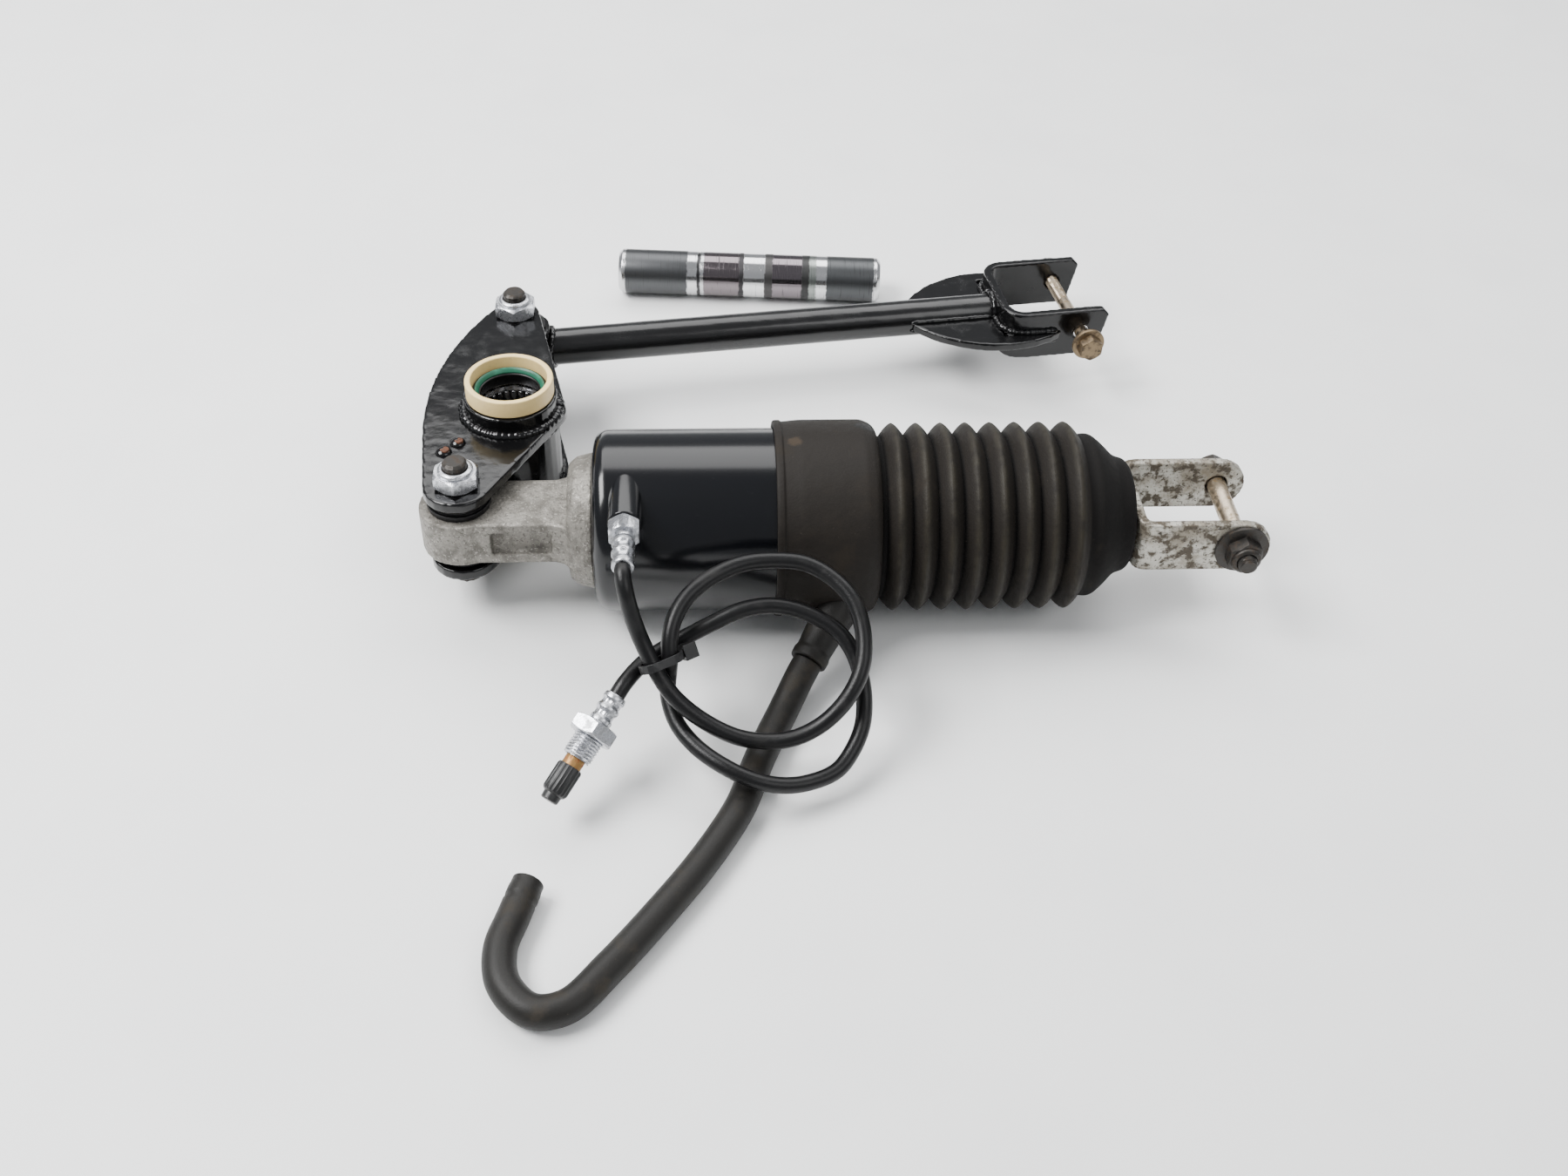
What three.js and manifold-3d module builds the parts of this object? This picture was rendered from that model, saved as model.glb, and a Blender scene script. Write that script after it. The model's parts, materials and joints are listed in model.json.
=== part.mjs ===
// Motorcycle rear air shock absorber with its relay linkage, laid out on a bench.
// Millimetres, +Z up. The shock lies along X; its axis is the X axis of the "assembly" group,
// which is raised to the sleeve's radius and rolled so that the relay arm rests on the bench.

import * as THREE from 'three';
import { mergeVertices } from 'three/addons/utils/BufferGeometryUtils.js';
import Module from 'manifold-3d';

const wasm = await Module();
wasm.setup();

// ---------------------------------------------------------------- driving dimensions
const GAP = 0.3;                 // clearance between touching pieces
const DEG = Math.PI / 180;

const SLEEVE_R = 40.4;           // the largest radius: it rests on the bench
const AXIS_Z = SLEEVE_R + 0.1;   // height of the shock's axis
const ROLL = -4 * DEG;           // roll of shock and linkage about the shock's axis

const CAN = { r: 37.2, wall: 2.5, left: -95.2, right: 12, shoulder: 6 };
const SLEEVE = { left: -22.7, right: 19, inner: CAN.r + GAP, lip: 0.8 };
const BELLOWS = { start: 19.4, first: 26.2, pitch: 10.22, folds: 8, crest: 38.7, valley: 33.2,
  wall: 2.2, end: 124 };
const LUG = { x: -149.6, eye: 16.6, half: 15, thick: 20, bore: 8, flangeR: 26.8, flangeX: -105.5 };
const STROKE_ROD = { r: 6.25, piston: 19.6 };

const PLATE = { inner: 15, thick: 5 };           // relay plates, measured from the mid plane
const RELAY = {
  shockBolt: [LUG.x, 0], armBolt: [-135.2, 125.4], boss: [-131.5, 50.5], corner: [-116.5, 50.5],
  tubeR: 19.5, tubeHalf: 27.8, boreR: 14.2, sealSeatR: 15.9, sealSeatDepth: 4.6,
};
const RING = { outer: 18.4, inner: 15.9, high: 8 };
const BEARING = { outer: 14, split: 12.7, inner: 11.25, centre: 14.2, half: 8.5 };

const ARM = { length: 266.5, angle: 7.9 * DEG, eyeR: 15, eyeHalf: 12.6, rodR: 8.5, rodEnd: 230.3 };
const YOKE = { back: 228.3, end: 279.2, half: 25, high: 12, thick: 4, bend: 10, slant: 3.5 };
const YOKE_BOLT = { shank: 3.1, hole: 3.7, looseHead: 9, looseNut: 4 };
const GUSSET = { from: 182, widest: 230, to: 257, half: 32.6, thick: 4 };

const U = { back: 124.6, end: 180.2, half: 22.4, high: 11.8, thick: 3.8, boltX: 168, hole: 4.8 };

const PIN = { r: 11.2, left: [-91.3, 217.4], right: [42.3, 208.1] };
const AIR_HOSE = { r: 3.2 };
const DRAIN = { r: 6.1 };

// ---------------------------------------------------------------- materials
const material = (color, roughness, metalness) =>
  new THREE.MeshStandardMaterial({ color, roughness, metalness });

const LOOK = {
  canister: material(0x07080a, 0.12, 0.1),
  casting: material(0x8e8c88, 0.6, 0.7),
  rubber: material(0x26221d, 0.85, 0),
  blackRubber: material(0x121213, 0.5, 0),
  blackPaint: material(0x0c0c0d, 0.3, 0.1),
  zinc: material(0x9a9ca0, 0.45, 0.9),
  yellowZinc: material(0x8a7654, 0.4, 0.9),
  darkSteel: material(0x3a3631, 0.55, 0.8),
  steel: material(0xb4b6b8, 0.2, 1),
  thrustRing: material(0xe4cd96, 0.5, 0),
  sealLip: material(0x1d6a4e, 0.5, 0),
  brass: material(0x8c6a3a, 0.5, 0.9),
  blackPlastic: material(0x141414, 0.55, 0),
};

// ---------------------------------------------------------------- solids and booleans
function solidOf(geometry) {
  const bare = geometry.clone();
  for (const name of Object.keys(bare.attributes)) {
    if (name !== 'position') bare.deleteAttribute(name);
  }
  const merged = mergeVertices(bare, 1e-4);
  return new wasm.Manifold(new wasm.Mesh({
    numProp: 3,
    vertProperties: new Float32Array(merged.attributes.position.array),
    triVerts: new Uint32Array(merged.index.array),
  }));
}

function geometryOf(solid) {
  const mesh = solid.getMesh();
  const geometry = new THREE.BufferGeometry();
  geometry.setAttribute('position', new THREE.BufferAttribute(mesh.vertProperties, 3));
  geometry.setIndex(new THREE.BufferAttribute(mesh.triVerts, 1));
  geometry.computeVertexNormals();
  return geometry;
}

function cut(body, ...tools) {
  let solid = solidOf(body);
  for (const tool of tools) solid = solid.subtract(solidOf(tool));
  return geometryOf(solid);
}

function join(body, ...others) {
  let solid = solidOf(body);
  for (const other of others) solid = solid.add(solidOf(other));
  return geometryOf(solid);
}

// ---------------------------------------------------------------- shape helpers
// A turned solid. The profile is a list of [radius, height]; it closes on itself or on the axis.
function turned(profile, sides = 20) {
  const points = profile.map(([r, h]) => new THREE.Vector2(r, h));
  if (profile[0][0] > 0) points.push(points[0].clone());
  return new THREE.LatheGeometry(points, sides).rotateX(Math.PI / 2);
}

// A hollow ring or bush between two heights, along Z.
function ring(outer, inner, low, high, sides = 20, chamfer = 0) {
  return turned([
    [inner, low], [outer - chamfer, low], [outer, low + chamfer],
    [outer, high - chamfer], [outer - chamfer, high], [inner, high],
  ].filter((p, i, all) => i === 0 || p[0] !== all[i - 1][0] || p[1] !== all[i - 1][1]), sides);
}

function rod(r, low, high, sides = 20, chamfer = 0) {
  const profile = [[0, low], [r - chamfer, low]];
  if (chamfer) profile.push([r, low + chamfer], [r, high - chamfer]);
  profile.push([r - chamfer, high], [0, high]);
  return turned(profile, sides);
}

// Turns a solid made along Z so that it lies along X, height growing with +X.
const alongX = (geometry) => geometry.rotateY(Math.PI / 2);
// Turns a solid made along Z so that it lies along Y, height growing with -Y.
const alongMinusY = (geometry) => geometry.rotateX(Math.PI / 2);

function plate(points, low, high) {
  const shape = new THREE.Shape(points.map(([x, y]) => new THREE.Vector2(x, y)));
  return new THREE.ExtrudeGeometry(shape, { depth: high - low, bevelEnabled: false })
    .translate(0, 0, low);
}

function block(x0, x1, y0, y1, z0, z1) {
  return new THREE.BoxGeometry(x1 - x0, y1 - y0, z1 - z0)
    .translate((x0 + x1) / 2, (y0 + y1) / 2, (z0 + z1) / 2);
}

function arc(cx, cy, r, from, to, steps) {
  return Array.from({ length: steps + 1 }, (_, i) => {
    const a = from + (to - from) * i / steps;
    return [cx + r * Math.cos(a), cy + r * Math.sin(a)];
  });
}

// The convex outline round a set of points, as a rubber band would lie.
function bandAround(points) {
  const sorted = [...points].sort((a, b) => a[0] - b[0] || a[1] - b[1]);
  const half = (list) => {
    const out = [];
    for (const p of list) {
      while (out.length > 1) {
        const [a, b] = out.slice(-2);
        if ((b[0] - a[0]) * (p[1] - a[1]) - (b[1] - a[1]) * (p[0] - a[0]) > 1e-6) break;
        out.pop();
      }
      out.push(p);
    }
    return out.slice(0, -1);
  };
  return [...half(sorted), ...half(sorted.reverse())];
}

function hexPrism(acrossFlats, low, high) {
  return rod(acrossFlats / Math.sqrt(3), low, high, 6);
}

// A tube of round section swept along a smooth curve through hand-picked points.
function sweptTube(points, radius, steps, sides = 8) {
  const curve = new THREE.CatmullRomCurve3(points.map((p) => new THREE.Vector3(...p)), false,
    'centripetal');
  const section = new THREE.Shape();
  section.setFromPoints(arc(0, 0, radius, 0, 2 * Math.PI, sides).slice(0, -1)
    .map(([x, y]) => new THREE.Vector2(x, y)));
  return new THREE.ExtrudeGeometry(section, { steps, extrudePath: curve, bevelEnabled: false });
}

const named = (name, geometry, look, place = {}) => {
  const mesh = new THREE.Mesh(geometry, look);
  mesh.name = name;
  if (place.at) mesh.position.set(...place.at);
  if (place.turn) mesh.rotation.set(...place.turn);
  return mesh;
};

// ---------------------------------------------------------------- shock absorber
function canister() {
  const { r, wall, left, right, shoulder } = CAN;
  const outer = arc(r - shoulder, left + shoulder, shoulder, -Math.PI / 2, 0, 3);
  const inner = arc(r - shoulder, left + shoulder, shoulder - wall, 0, -Math.PI / 2, 2);
  return alongX(turned([[20, left], ...outer, [r, right], [r - wall, right], ...inner,
    [20, left + wall]], 32));
}

function endCasting() {
  const { x, eye, half, thick, bore, flangeR, flangeX } = LUG;
  const back = CAN.left - GAP;
  const flange = alongX(turned([[0, flangeX], [flangeR - 3.2, flangeX], [flangeR - 0.6, flangeX + 3],
    [flangeR, back - 5], [flangeR + 1.2, back], [0, back]], 28));
  const meet = Math.asin(half / eye);
  const outline = [[flangeX + 1, -half - 5], [flangeX + 1, half + 5], [flangeX - 2, half + 1.5],
    [flangeX - 6, half], ...arc(x, 0, eye, meet, 2 * Math.PI - meet, 14),
    [flangeX - 6, -half], [flangeX - 2, -half - 1.5]];
  const lug = plate(outline, -thick / 2, thick / 2);
  const underBoss = rod(8, -thick / 2 - 3, -thick / 2 + 1, 16).translate(x + 23, 0, 0);
  const pocket = (side) => {
    const from = side > 0 ? half - 3.5 : -half - 2;
    return block(x + 13, flangeX - 7, from, from + 5.5, -5.5, 5.5);
  };
  return cut(join(flange, lug, underBoss), rod(bore, -30, 30, 20).translate(x, 0, 0),
    pocket(1), pocket(-1));
}

// A dust seal between the lug or arm eye and a relay plate: two steps, open in the middle.
function dustCollar(low, high, outer, inner) {
  const waist = (low + high) / 2;
  return turned([[inner, low], [outer, low], [outer, waist], [outer - 1.4, waist],
    [outer - 1.4, high], [inner, high]]);
}

function bootSleeve() {
  const { left, right, inner, lip } = SLEEVE;
  return alongX(turned([[inner, left], [SLEEVE_R, left], [SLEEVE_R, left + 2.5],
    [SLEEVE_R - lip, left + 3.2], [SLEEVE_R, left + 10], [SLEEVE_R, right - 6],
    [SLEEVE_R - 1.6, right - 2], [SLEEVE_R - 4, right], [BELLOWS.valley - 2, right],
    [BELLOWS.valley - 2, right - 3], [inner, right - 5]], 32));
}

function bellows() {
  const { start, first, pitch, folds, crest, valley, wall, end } = BELLOWS;
  const outer = [[valley, start]];
  const inner = [];
  for (let i = 0; i < folds; i += 1) {
    const x = first + i * pitch;
    outer.push([crest, x - 1.7], [crest, x + 1.7], [valley, x + pitch / 2]);
    inner.push([crest - wall - 1, x], [valley - wall, x + pitch / 2]);
  }
  const last = first + (folds - 1) * pitch;
  outer.push([valley + 0.6, last + 10], [30.6, last + 14], [24.6, last + 20], [23.3, end - 1.6],
    [21.5, end], [9, end]);
  inner.push([valley - wall - 0.5, last + 10], [28, last + 14.5], [22.5, end - wall - 1],
    [9, end - wall]);
  return alongX(turned([...outer, ...inner.reverse(), [valley - wall, start]], 24));
}

function drainSpigot() {
  const from = new THREE.Vector3(4, -33, 25);
  const to = new THREE.Vector3(-10.6, -56.8, 15);
  const length = from.distanceTo(to);
  const spigot = turned([[4.2, 0], [9.4, 0], [7.4, length - 10], [7.8, length - 4],
    [7.5, length], [4.2, length]], 18);
  const aim = new THREE.Quaternion().setFromUnitVectors(new THREE.Vector3(0, 0, 1),
    to.clone().sub(from).normalize());
  spigot.applyQuaternion(aim).translate(...from.toArray());
  return cut(spigot, alongX(rod(SLEEVE_R + GAP, -40, 40, 48)).translate(0, 0, AXIS_Z));
}

function coilSpring(from, to, turns, mean, wire) {
  class Helix extends THREE.Curve {
    getPoint(t, target = new THREE.Vector3()) {
      const a = 2 * Math.PI * turns * t;
      return target.set(from + wire + (to - from - 2 * wire) * t, mean * Math.cos(a),
        mean * Math.sin(a));
    }
  }
  const section = new THREE.Shape();
  section.setFromPoints(arc(0, 0, wire, 0, 2 * Math.PI, 6).slice(0, -1)
    .map(([x, y]) => new THREE.Vector2(x, y)));
  return new THREE.ExtrudeGeometry(section,
    { steps: turns * 10, extrudePath: new Helix(), bevelEnabled: false });
}

function uBracket() {
  const { back, end, half, high, thick, boltX, hole } = U;
  const bend = 6;
  const outside = [[back, 0], [back, half - bend], ...arc(back + bend, half - bend, bend, Math.PI,
    Math.PI / 2, 4), [end, half], [end, half - thick]];
  const inside = arc(back + bend, half - bend, bend - thick, Math.PI / 2, Math.PI, 3);
  const upper = [...outside, ...inside, [back + thick, 0]];
  const lower = upper.slice(1, -1).map(([x, y]) => [x, -y]).reverse();
  const strap = plate([...upper, ...lower], -high, high);
  const side = bandAround([[back - 1, -high], [back - 1, high], ...arc(end - high, 0, high,
    -Math.PI / 2, Math.PI / 2, 8)]);
  const envelope = plate(side, -half - 1, half + 1).rotateX(Math.PI / 2);
  const drill = alongMinusY(rod(hole, -30, 30, 20)).translate(boltX, 0, 0);
  const rodHole = alongX(rod(STROKE_ROD.r + GAP, back - 5, back + thick + 5, 20));
  const solid = solidOf(strap).intersect(solidOf(envelope));
  return cut(geometryOf(solid), drill, rodHole);
}

// A hexagon flange bolt along Z: the head ends at z = 0 on its flange's seat, the shank grows up.
function flangeBolt({ shank, length, flange, head, flats }) {
  const body = turned([[0, -head], [flats / 2, -head], [flats / 2, -2.4], [flange, -1.4],
    [flange, 0], [shank, 0],
    [shank, length - 1], [shank - 1.2, length], [0, length]], 16);
  return join(body, hexPrism(flats, -head + 0.6, -1.8));
}

// A lock nut along Z: seat at z = 0, bored right through.
function lockNut({ bore, flats, high, collar, flange = 0 }) {
  const base = rod(flange || flats / 2, 0, 1.6, 16);
  const top = rod(collar, high - 0.5, high + 2.2, 16);
  return cut(join(base, hexPrism(flats, 0.2, high), top), rod(bore, -1, high + 3, 12));
}

// ---------------------------------------------------------------- relay arm
function relayOutline() {
  const circle = (centre, r) => arc(centre[0], centre[1], r, 0, 2 * Math.PI, 20);
  return bandAround([...circle(RELAY.shockBolt, 14), ...circle(RELAY.armBolt, 10.7),
    ...circle(RELAY.corner, 8), ...arc(-18.3, 50, 150, 149 * DEG, 200 * DEG, 12)]);
}

function relayPlate(low, high) {
  const hole = (at, r, sides = 16) => rod(r, low - 1, high + 1, sides).translate(at[0], at[1], 0);
  return cut(plate(relayOutline(), low, high), hole(RELAY.shockBolt, 5.4),
    hole(RELAY.armBolt, 5.4), hole(RELAY.boss, RELAY.tubeR + GAP, 32));
}

function bossTube() {
  const { tubeR, tubeHalf, boreR, sealSeatR, sealSeatDepth } = RELAY;
  const step = tubeHalf - sealSeatDepth;
  return turned([[boreR, -step], [sealSeatR, -step], [sealSeatR, -tubeHalf], [tubeR, -tubeHalf],
    [tubeR, tubeHalf], [sealSeatR, tubeHalf], [sealSeatR, step], [boreR, step]], 32);
}

// A lip seal for the top end of the boss; the lower one is the same turned over.
function dustSeal() {
  const low = RELAY.tubeHalf - RELAY.sealSeatDepth + GAP;
  return turned([[13, low], [RELAY.sealSeatR - GAP, low], [RELAY.sealSeatR - GAP, low + 7.4],
    [14.2, low + 7.4], [13.4, low + 5.8], [11.4, low + 5.4]], 24);
}

function relayArm() {
  const group = new THREE.Group();
  const top = PLATE.inner + PLATE.thick;
  group.add(named('relay_plate_upper', relayPlate(PLATE.inner, top), LOOK.blackPaint),
    named('relay_plate_lower', relayPlate(-top, -PLATE.inner), LOOK.blackPaint));

  const boss = new THREE.Group();
  boss.position.set(RELAY.boss[0], RELAY.boss[1], 0);
  group.add(boss);
  boss.add(named('relay_boss_tube', bossTube(), LOOK.blackPaint));
  for (const [side, flip] of [['upper', 1], ['lower', -1]]) {
    const turn = [flip > 0 ? 0 : Math.PI, 0, 0];
    const { outer, split, inner, centre, half } = BEARING;
    const ringLow = RELAY.tubeHalf + GAP;
    boss.add(
      named(`needle_bearing_shell_${side}`, ring(outer, split, centre - half, centre + half),
        LOOK.steel, { turn }),
      named(`needle_cage_${side}`, ring(split - GAP, inner, centre - half + 1, centre + half - 1),
        LOOK.steel, { turn }),
      named(`boss_dust_seal_${side}`, dustSeal(), LOOK.blackRubber, { turn }),
      named(`thrust_ring_${side}`, ring(RING.outer, RING.inner, ringLow,
        RELAY.tubeHalf + RING.high, 32), LOOK.thrustRing, { turn }),
    );
  }
  return group;
}

// Bolt, nut and collars of one relay pivot. The bolt comes up from below.
function relayPivot(prefix, at, collarSpan) {
  const group = new THREE.Group();
  group.position.set(at[0], at[1], 0);
  const seat = PLATE.inner + PLATE.thick + GAP;
  const bolt = flangeBolt({ shank: 5, length: 2 * seat + 11, flange: 9.6, head: 6, flats: 14 });
  group.add(
    named(`${prefix}_bolt`, bolt, LOOK.darkSteel, { at: [0, 0, -seat] }),
    named(`${prefix}_nut`, lockNut({ bore: 5 + GAP, flats: 17, high: 7, collar: 7.4 }), LOOK.zinc,
      { at: [0, 0, seat] }),
  );
  const [low, high] = collarSpan;
  const collar = dustCollar(low, high, 13, 5.6);
  group.add(named(`${prefix}_collar_upper`, collar, LOOK.blackRubber),
    named(`${prefix}_collar_lower`, collar.clone(), LOOK.blackRubber, { turn: [Math.PI, 0, 0] }));
  return group;
}

// ---------------------------------------------------------------- connecting arm
function armYoke() {
  const { back, end, half, high, thick, bend, slant } = YOKE;
  const upper = [[back, half - bend], ...arc(back + bend, half - bend, bend, Math.PI, Math.PI / 2, 5),
    [end, half], [end, half - thick],
    ...arc(back + bend, half - bend, bend - thick, Math.PI / 2, Math.PI, 4)];
  const lower = upper.map(([x, y]) => [x, -y]).reverse();
  const strap = plate([...upper, ...lower], -high, high);
  const chamfer = 3;
  const side = [[back - 1, -high], [end - slant - chamfer, -high], [end - slant, -high + chamfer],
    [end, high - chamfer], [end - chamfer, high], [back - 1, high]];
  const envelope = plate(side, -half - 1, half + 1).rotateX(Math.PI / 2);
  const drill = alongMinusY(rod(YOKE_BOLT.hole, -40, 40, 16)).translate(ARM.length, 0, 0);
  return cut(geometryOf(solidOf(strap).intersect(solidOf(envelope))), drill);
}

// One half of the almond-shaped plate that ties the rod to the yoke; side is +1 or -1.
function armGusset(side) {
  const { from, widest, to, half, thick } = GUSSET;
  const bow = ((widest - from) ** 2 + half ** 2) / (2 * half);
  const start = Math.PI / 2 + Math.asin((widest - from) / bow);
  const stop = Math.PI / 2 - Math.asin((to - widest) / bow);
  const outline = [...arc(widest, half - bow, bow, stop, start, 12), [from, 0], [to, 0]]
    .map(([x, y]) => [x, y * side]);
  if (side < 0) outline.reverse();
  const yokeSpace = block(YOKE.back - GAP, to + 40, -YOKE.half - GAP, YOKE.half + GAP, -40, 40);
  const rodSpace = alongX(rod(ARM.rodR + GAP, from - 5, ARM.rodEnd + GAP, 24));
  const behindRod = block(from - 1, ARM.rodEnd, -ARM.rodR, ARM.rodR, -thick, thick);
  return cut(plate(outline, -thick / 2, thick / 2), yokeSpace, rodSpace, behindRod);
}

function connectingArm() {
  const group = new THREE.Group();
  group.position.set(RELAY.armBolt[0], RELAY.armBolt[1], 0);
  group.rotation.z = ARM.angle;
  const { eyeR, eyeHalf, rodR, rodEnd } = ARM;
  const rodBody = cut(alongX(rod(rodR, 2, rodEnd - 2.3, 20)), rod(eyeR + GAP, -30, 30, 36));
  group.add(
    named('arm_eye', ring(eyeR, 8.3, -eyeHalf, eyeHalf, 28), LOOK.blackPaint),
    named('arm_bush', ring(8, 5.4, -eyeHalf, eyeHalf), LOOK.steel),
    named('arm_rod', rodBody, LOOK.blackPaint),
    named('arm_gusset_rear', armGusset(1), LOOK.blackPaint),
    named('arm_gusset_front', armGusset(-1), LOOK.blackPaint),
    named('arm_yoke', armYoke(), LOOK.blackPaint),
  );
  const { shank, looseHead, looseNut } = YOKE_BOLT;
  const bolt = flangeBolt({ shank, length: 2 * YOKE.half + 22, flange: 7.8, head: 7, flats: 10 });
  group.add(
    named('yoke_bolt', bolt, LOOK.yellowZinc,
      { at: [ARM.length, -YOKE.half - looseHead, 0], turn: [-Math.PI / 2, 0, 0] }),
    named('yoke_nut', lockNut({ bore: shank + GAP, flats: 11, high: 6, collar: 4.8, flange: 8.5 }),
      LOOK.darkSteel, { at: [ARM.length, YOKE.half + looseNut, 0], turn: [-Math.PI / 2, 0, 0] }),
  );
  return group;
}

// ---------------------------------------------------------------- shock internals and end bracket
function shockAbsorber() {
  const group = new THREE.Group();
  const add = (...meshes) => group.add(...meshes);
  const { r: rodR, piston } = STROKE_ROD;

  add(named('canister', canister(), LOOK.canister),
    named('end_casting', endCasting(), LOOK.casting),
    named('lug_bush', ring(LUG.bore - GAP, 5.4, -LUG.thick / 2, LUG.thick / 2), LOOK.steel,
      { at: [LUG.x, 0, 0] }),
    named('boot_sleeve', bootSleeve(), LOOK.rubber),
    named('boot_bellows', bellows(), LOOK.rubber));

  add(named('damper_tube', alongX(ring(22, 20, -90, 4, 24)), LOOK.steel),
    named('rod_guide', alongX(turned([[rodR + GAP, 4.4], [22, 4.4], [22, 11.8], [13, 12.2],
      [13, 26], [rodR + GAP, 26]])), LOOK.steel),
    named('fixed_spring_seat', alongX(ring(30.6, 22.4, 12.4, 14.6)), LOOK.darkSteel),
    named('air_seal_ring', alongX(ring(CAN.r - CAN.wall - GAP, 22.4, 5, 9, 28)),
      LOOK.blackRubber),
    named('damper_piston', alongX(ring(piston, rodR + GAP, -14, -1)), LOOK.steel),
    named('piston_rod', alongX(rod(rodR, -18, U.back + U.thick + 1.4, 20)), LOOK.steel),
    named('bump_stop', alongX(turned([[rodR + GAP, 74], [10, 74], [13, 80], [11, 85], [14, 91],
      [14, 103.4], [rodR + GAP, 103.4]], 18)), LOOK.blackRubber),
    named('moving_spring_seat', alongX(turned([[rodR + GAP, 103.8], [29, 103.8], [29, 106],
      [14, 107], [12, 112], [rodR + GAP, 112]])), LOOK.darkSteel),
    named('coil_spring', coilSpring(14.9, 103.5, 6, 25.2, 3.2), LOOK.darkSteel),
    named('u_bracket', uBracket(), LOOK.zinc));

  const bolt = flangeBolt({ shank: 4, length: 2 * U.half + 13, flange: 9.6, head: 7, flats: 13 });
  add(named('clevis_bolt', bolt, LOOK.yellowZinc,
    { at: [U.boltX, U.half + GAP, 0], turn: [Math.PI / 2, 0, 0] }),
  named('clevis_nut', lockNut({ bore: 4 + GAP, flats: 13, high: 7.5, collar: 6, flange: 11 }),
    LOOK.darkSteel, { at: [U.boltX, -U.half - GAP, 0], turn: [Math.PI / 2, 0, 0] }));
  return group;
}

// Black inlet socket on the canister, its fitting and the hose's first ferrule, along -Y.
const INLET = { x: -81.8, z: 28, start: -6, end: -37, r: 6.5 };
function airInlet() {
  const group = new THREE.Group();
  group.position.set(INLET.x, 0, INLET.z);
  const socket = cut(alongMinusY(turned([[4.6, -INLET.start], [INLET.r, -INLET.start],
    [INLET.r, -INLET.end], [4.6, -INLET.end]])),
  alongX(rod(CAN.r + GAP, -20, 20, 48)).translate(0, 0, -INLET.z));
  const hexFrom = -INLET.end + GAP;
  const fitting = join(hexPrism(11.6, hexFrom, hexFrom + 7),
    rod(3.6, hexFrom - 3.2, hexFrom + 1, 16), rod(3.4, hexFrom + 6, hexFrom + 9.4, 16));
  const ferrule = turned([[0, hexFrom + 9.7], [4.3, hexFrom + 9.7], [4.6, hexFrom + 11],
    [3.7, hexFrom + 13.5], [4.6, hexFrom + 15.5], [4.5, hexFrom + 20], [4.1, hexFrom + 24.4],
    [0, hexFrom + 24.4]], 14);
  group.add(named('air_inlet_socket', socket, LOOK.canister),
    named('inlet_fitting', alongMinusY(fitting), LOOK.zinc),
    named('inlet_ferrule', alongMinusY(ferrule), LOOK.zinc));
  return group;
}

// ---------------------------------------------------------------- hoses, valve and loose pin
// Every route is in the bench frame: origin under the shock's axis, bench at z = 0.
const AIR_HOSE_ROUTE = [
  [-81.8, -59.9, 72.7], [-81.8, -62.9, 72.8], [-81, -67.5, 69.5], [-79, -71.5, 61], [-76.5, -74.5, 53],
  [-73.5, -78.5, 47], [-69, -84.5, 40], [-63, -90.5, 34], [-53, -95.5, 27], [-41, -99.5, 22],
  [-30.5, -100.5, 20], [-19.5, -100.5, 21], [-9, -97.5, 24.5], [0, -92.5, 31], [6, -85.5, 37.5],
  [8.5, -77.5, 43], [8, -67.5, 49], [4.5, -59, 54], [-2.5, -51.5, 57.5], [-12.5, -46, 60],
  [-24, -44.5, 60.5], [-36.5, -46, 60.5], [-48, -51, 59], [-57.5, -58.5, 56.5], [-63, -67, 53],
  [-65, -74, 48], [-65, -78.5, 42.5], [-65.5, -79.5, 35.5], [-66, -82.5, 29.5], [-65, -88, 26],
  [-62, -95, 23], [-55, -104, 21], [-45, -112, 19.5], [-34.5, -116.5, 17], [-24, -117, 14],
  [-13.5, -114.5, 12], [-2.5, -109.5, 12.5], [4, -102, 15.5], [8, -94, 20], [9, -86.5, 26],
  [8, -79, 31.5], [5, -71, 37], [-0.5, -64.5, 41.5], [-9, -60, 45], [-18.5, -57, 47],
  [-27.5, -56.5, 48], [-38, -58, 47], [-48.5, -61.5, 44], [-58.5, -65, 40.5], [-68, -69, 37.5],
  [-75, -75, 37], [-82, -84.4, 36.2], [-85, -88.5, 34],
];

// The hose drops to the bench from the spigot and ends in a moulded hook.
const DRAIN_ROUTE = [
  [-10.8, -57.2, 14.8], [-13.6, -61.7, 12.8], [-20.8, -75, 7.6], [-31.2, -98, 6.2], [-39.3, -120.5, 6.2],
  [-52.7, -143.6, 6.2], [-68.5, -165.3, 6.2], [-86.4, -187.5, 6.2], [-100.6, -202.1, 6.2],
  [-112.3, -203.4, 6.2], [-122.3, -193.2, 6.2], [-124.5, -179.5, 6.2], [-120.6, -165.6, 6.2],
  [-116.5, -152.2, 6.2],
];

// The valve hangs on the free end of the air hose and points this way.
const VALVE = { aim: [-0.54, -0.74, -0.4], hex: 17, thread: 5.9, stem: 3.9, cap: 5.1 };

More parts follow.
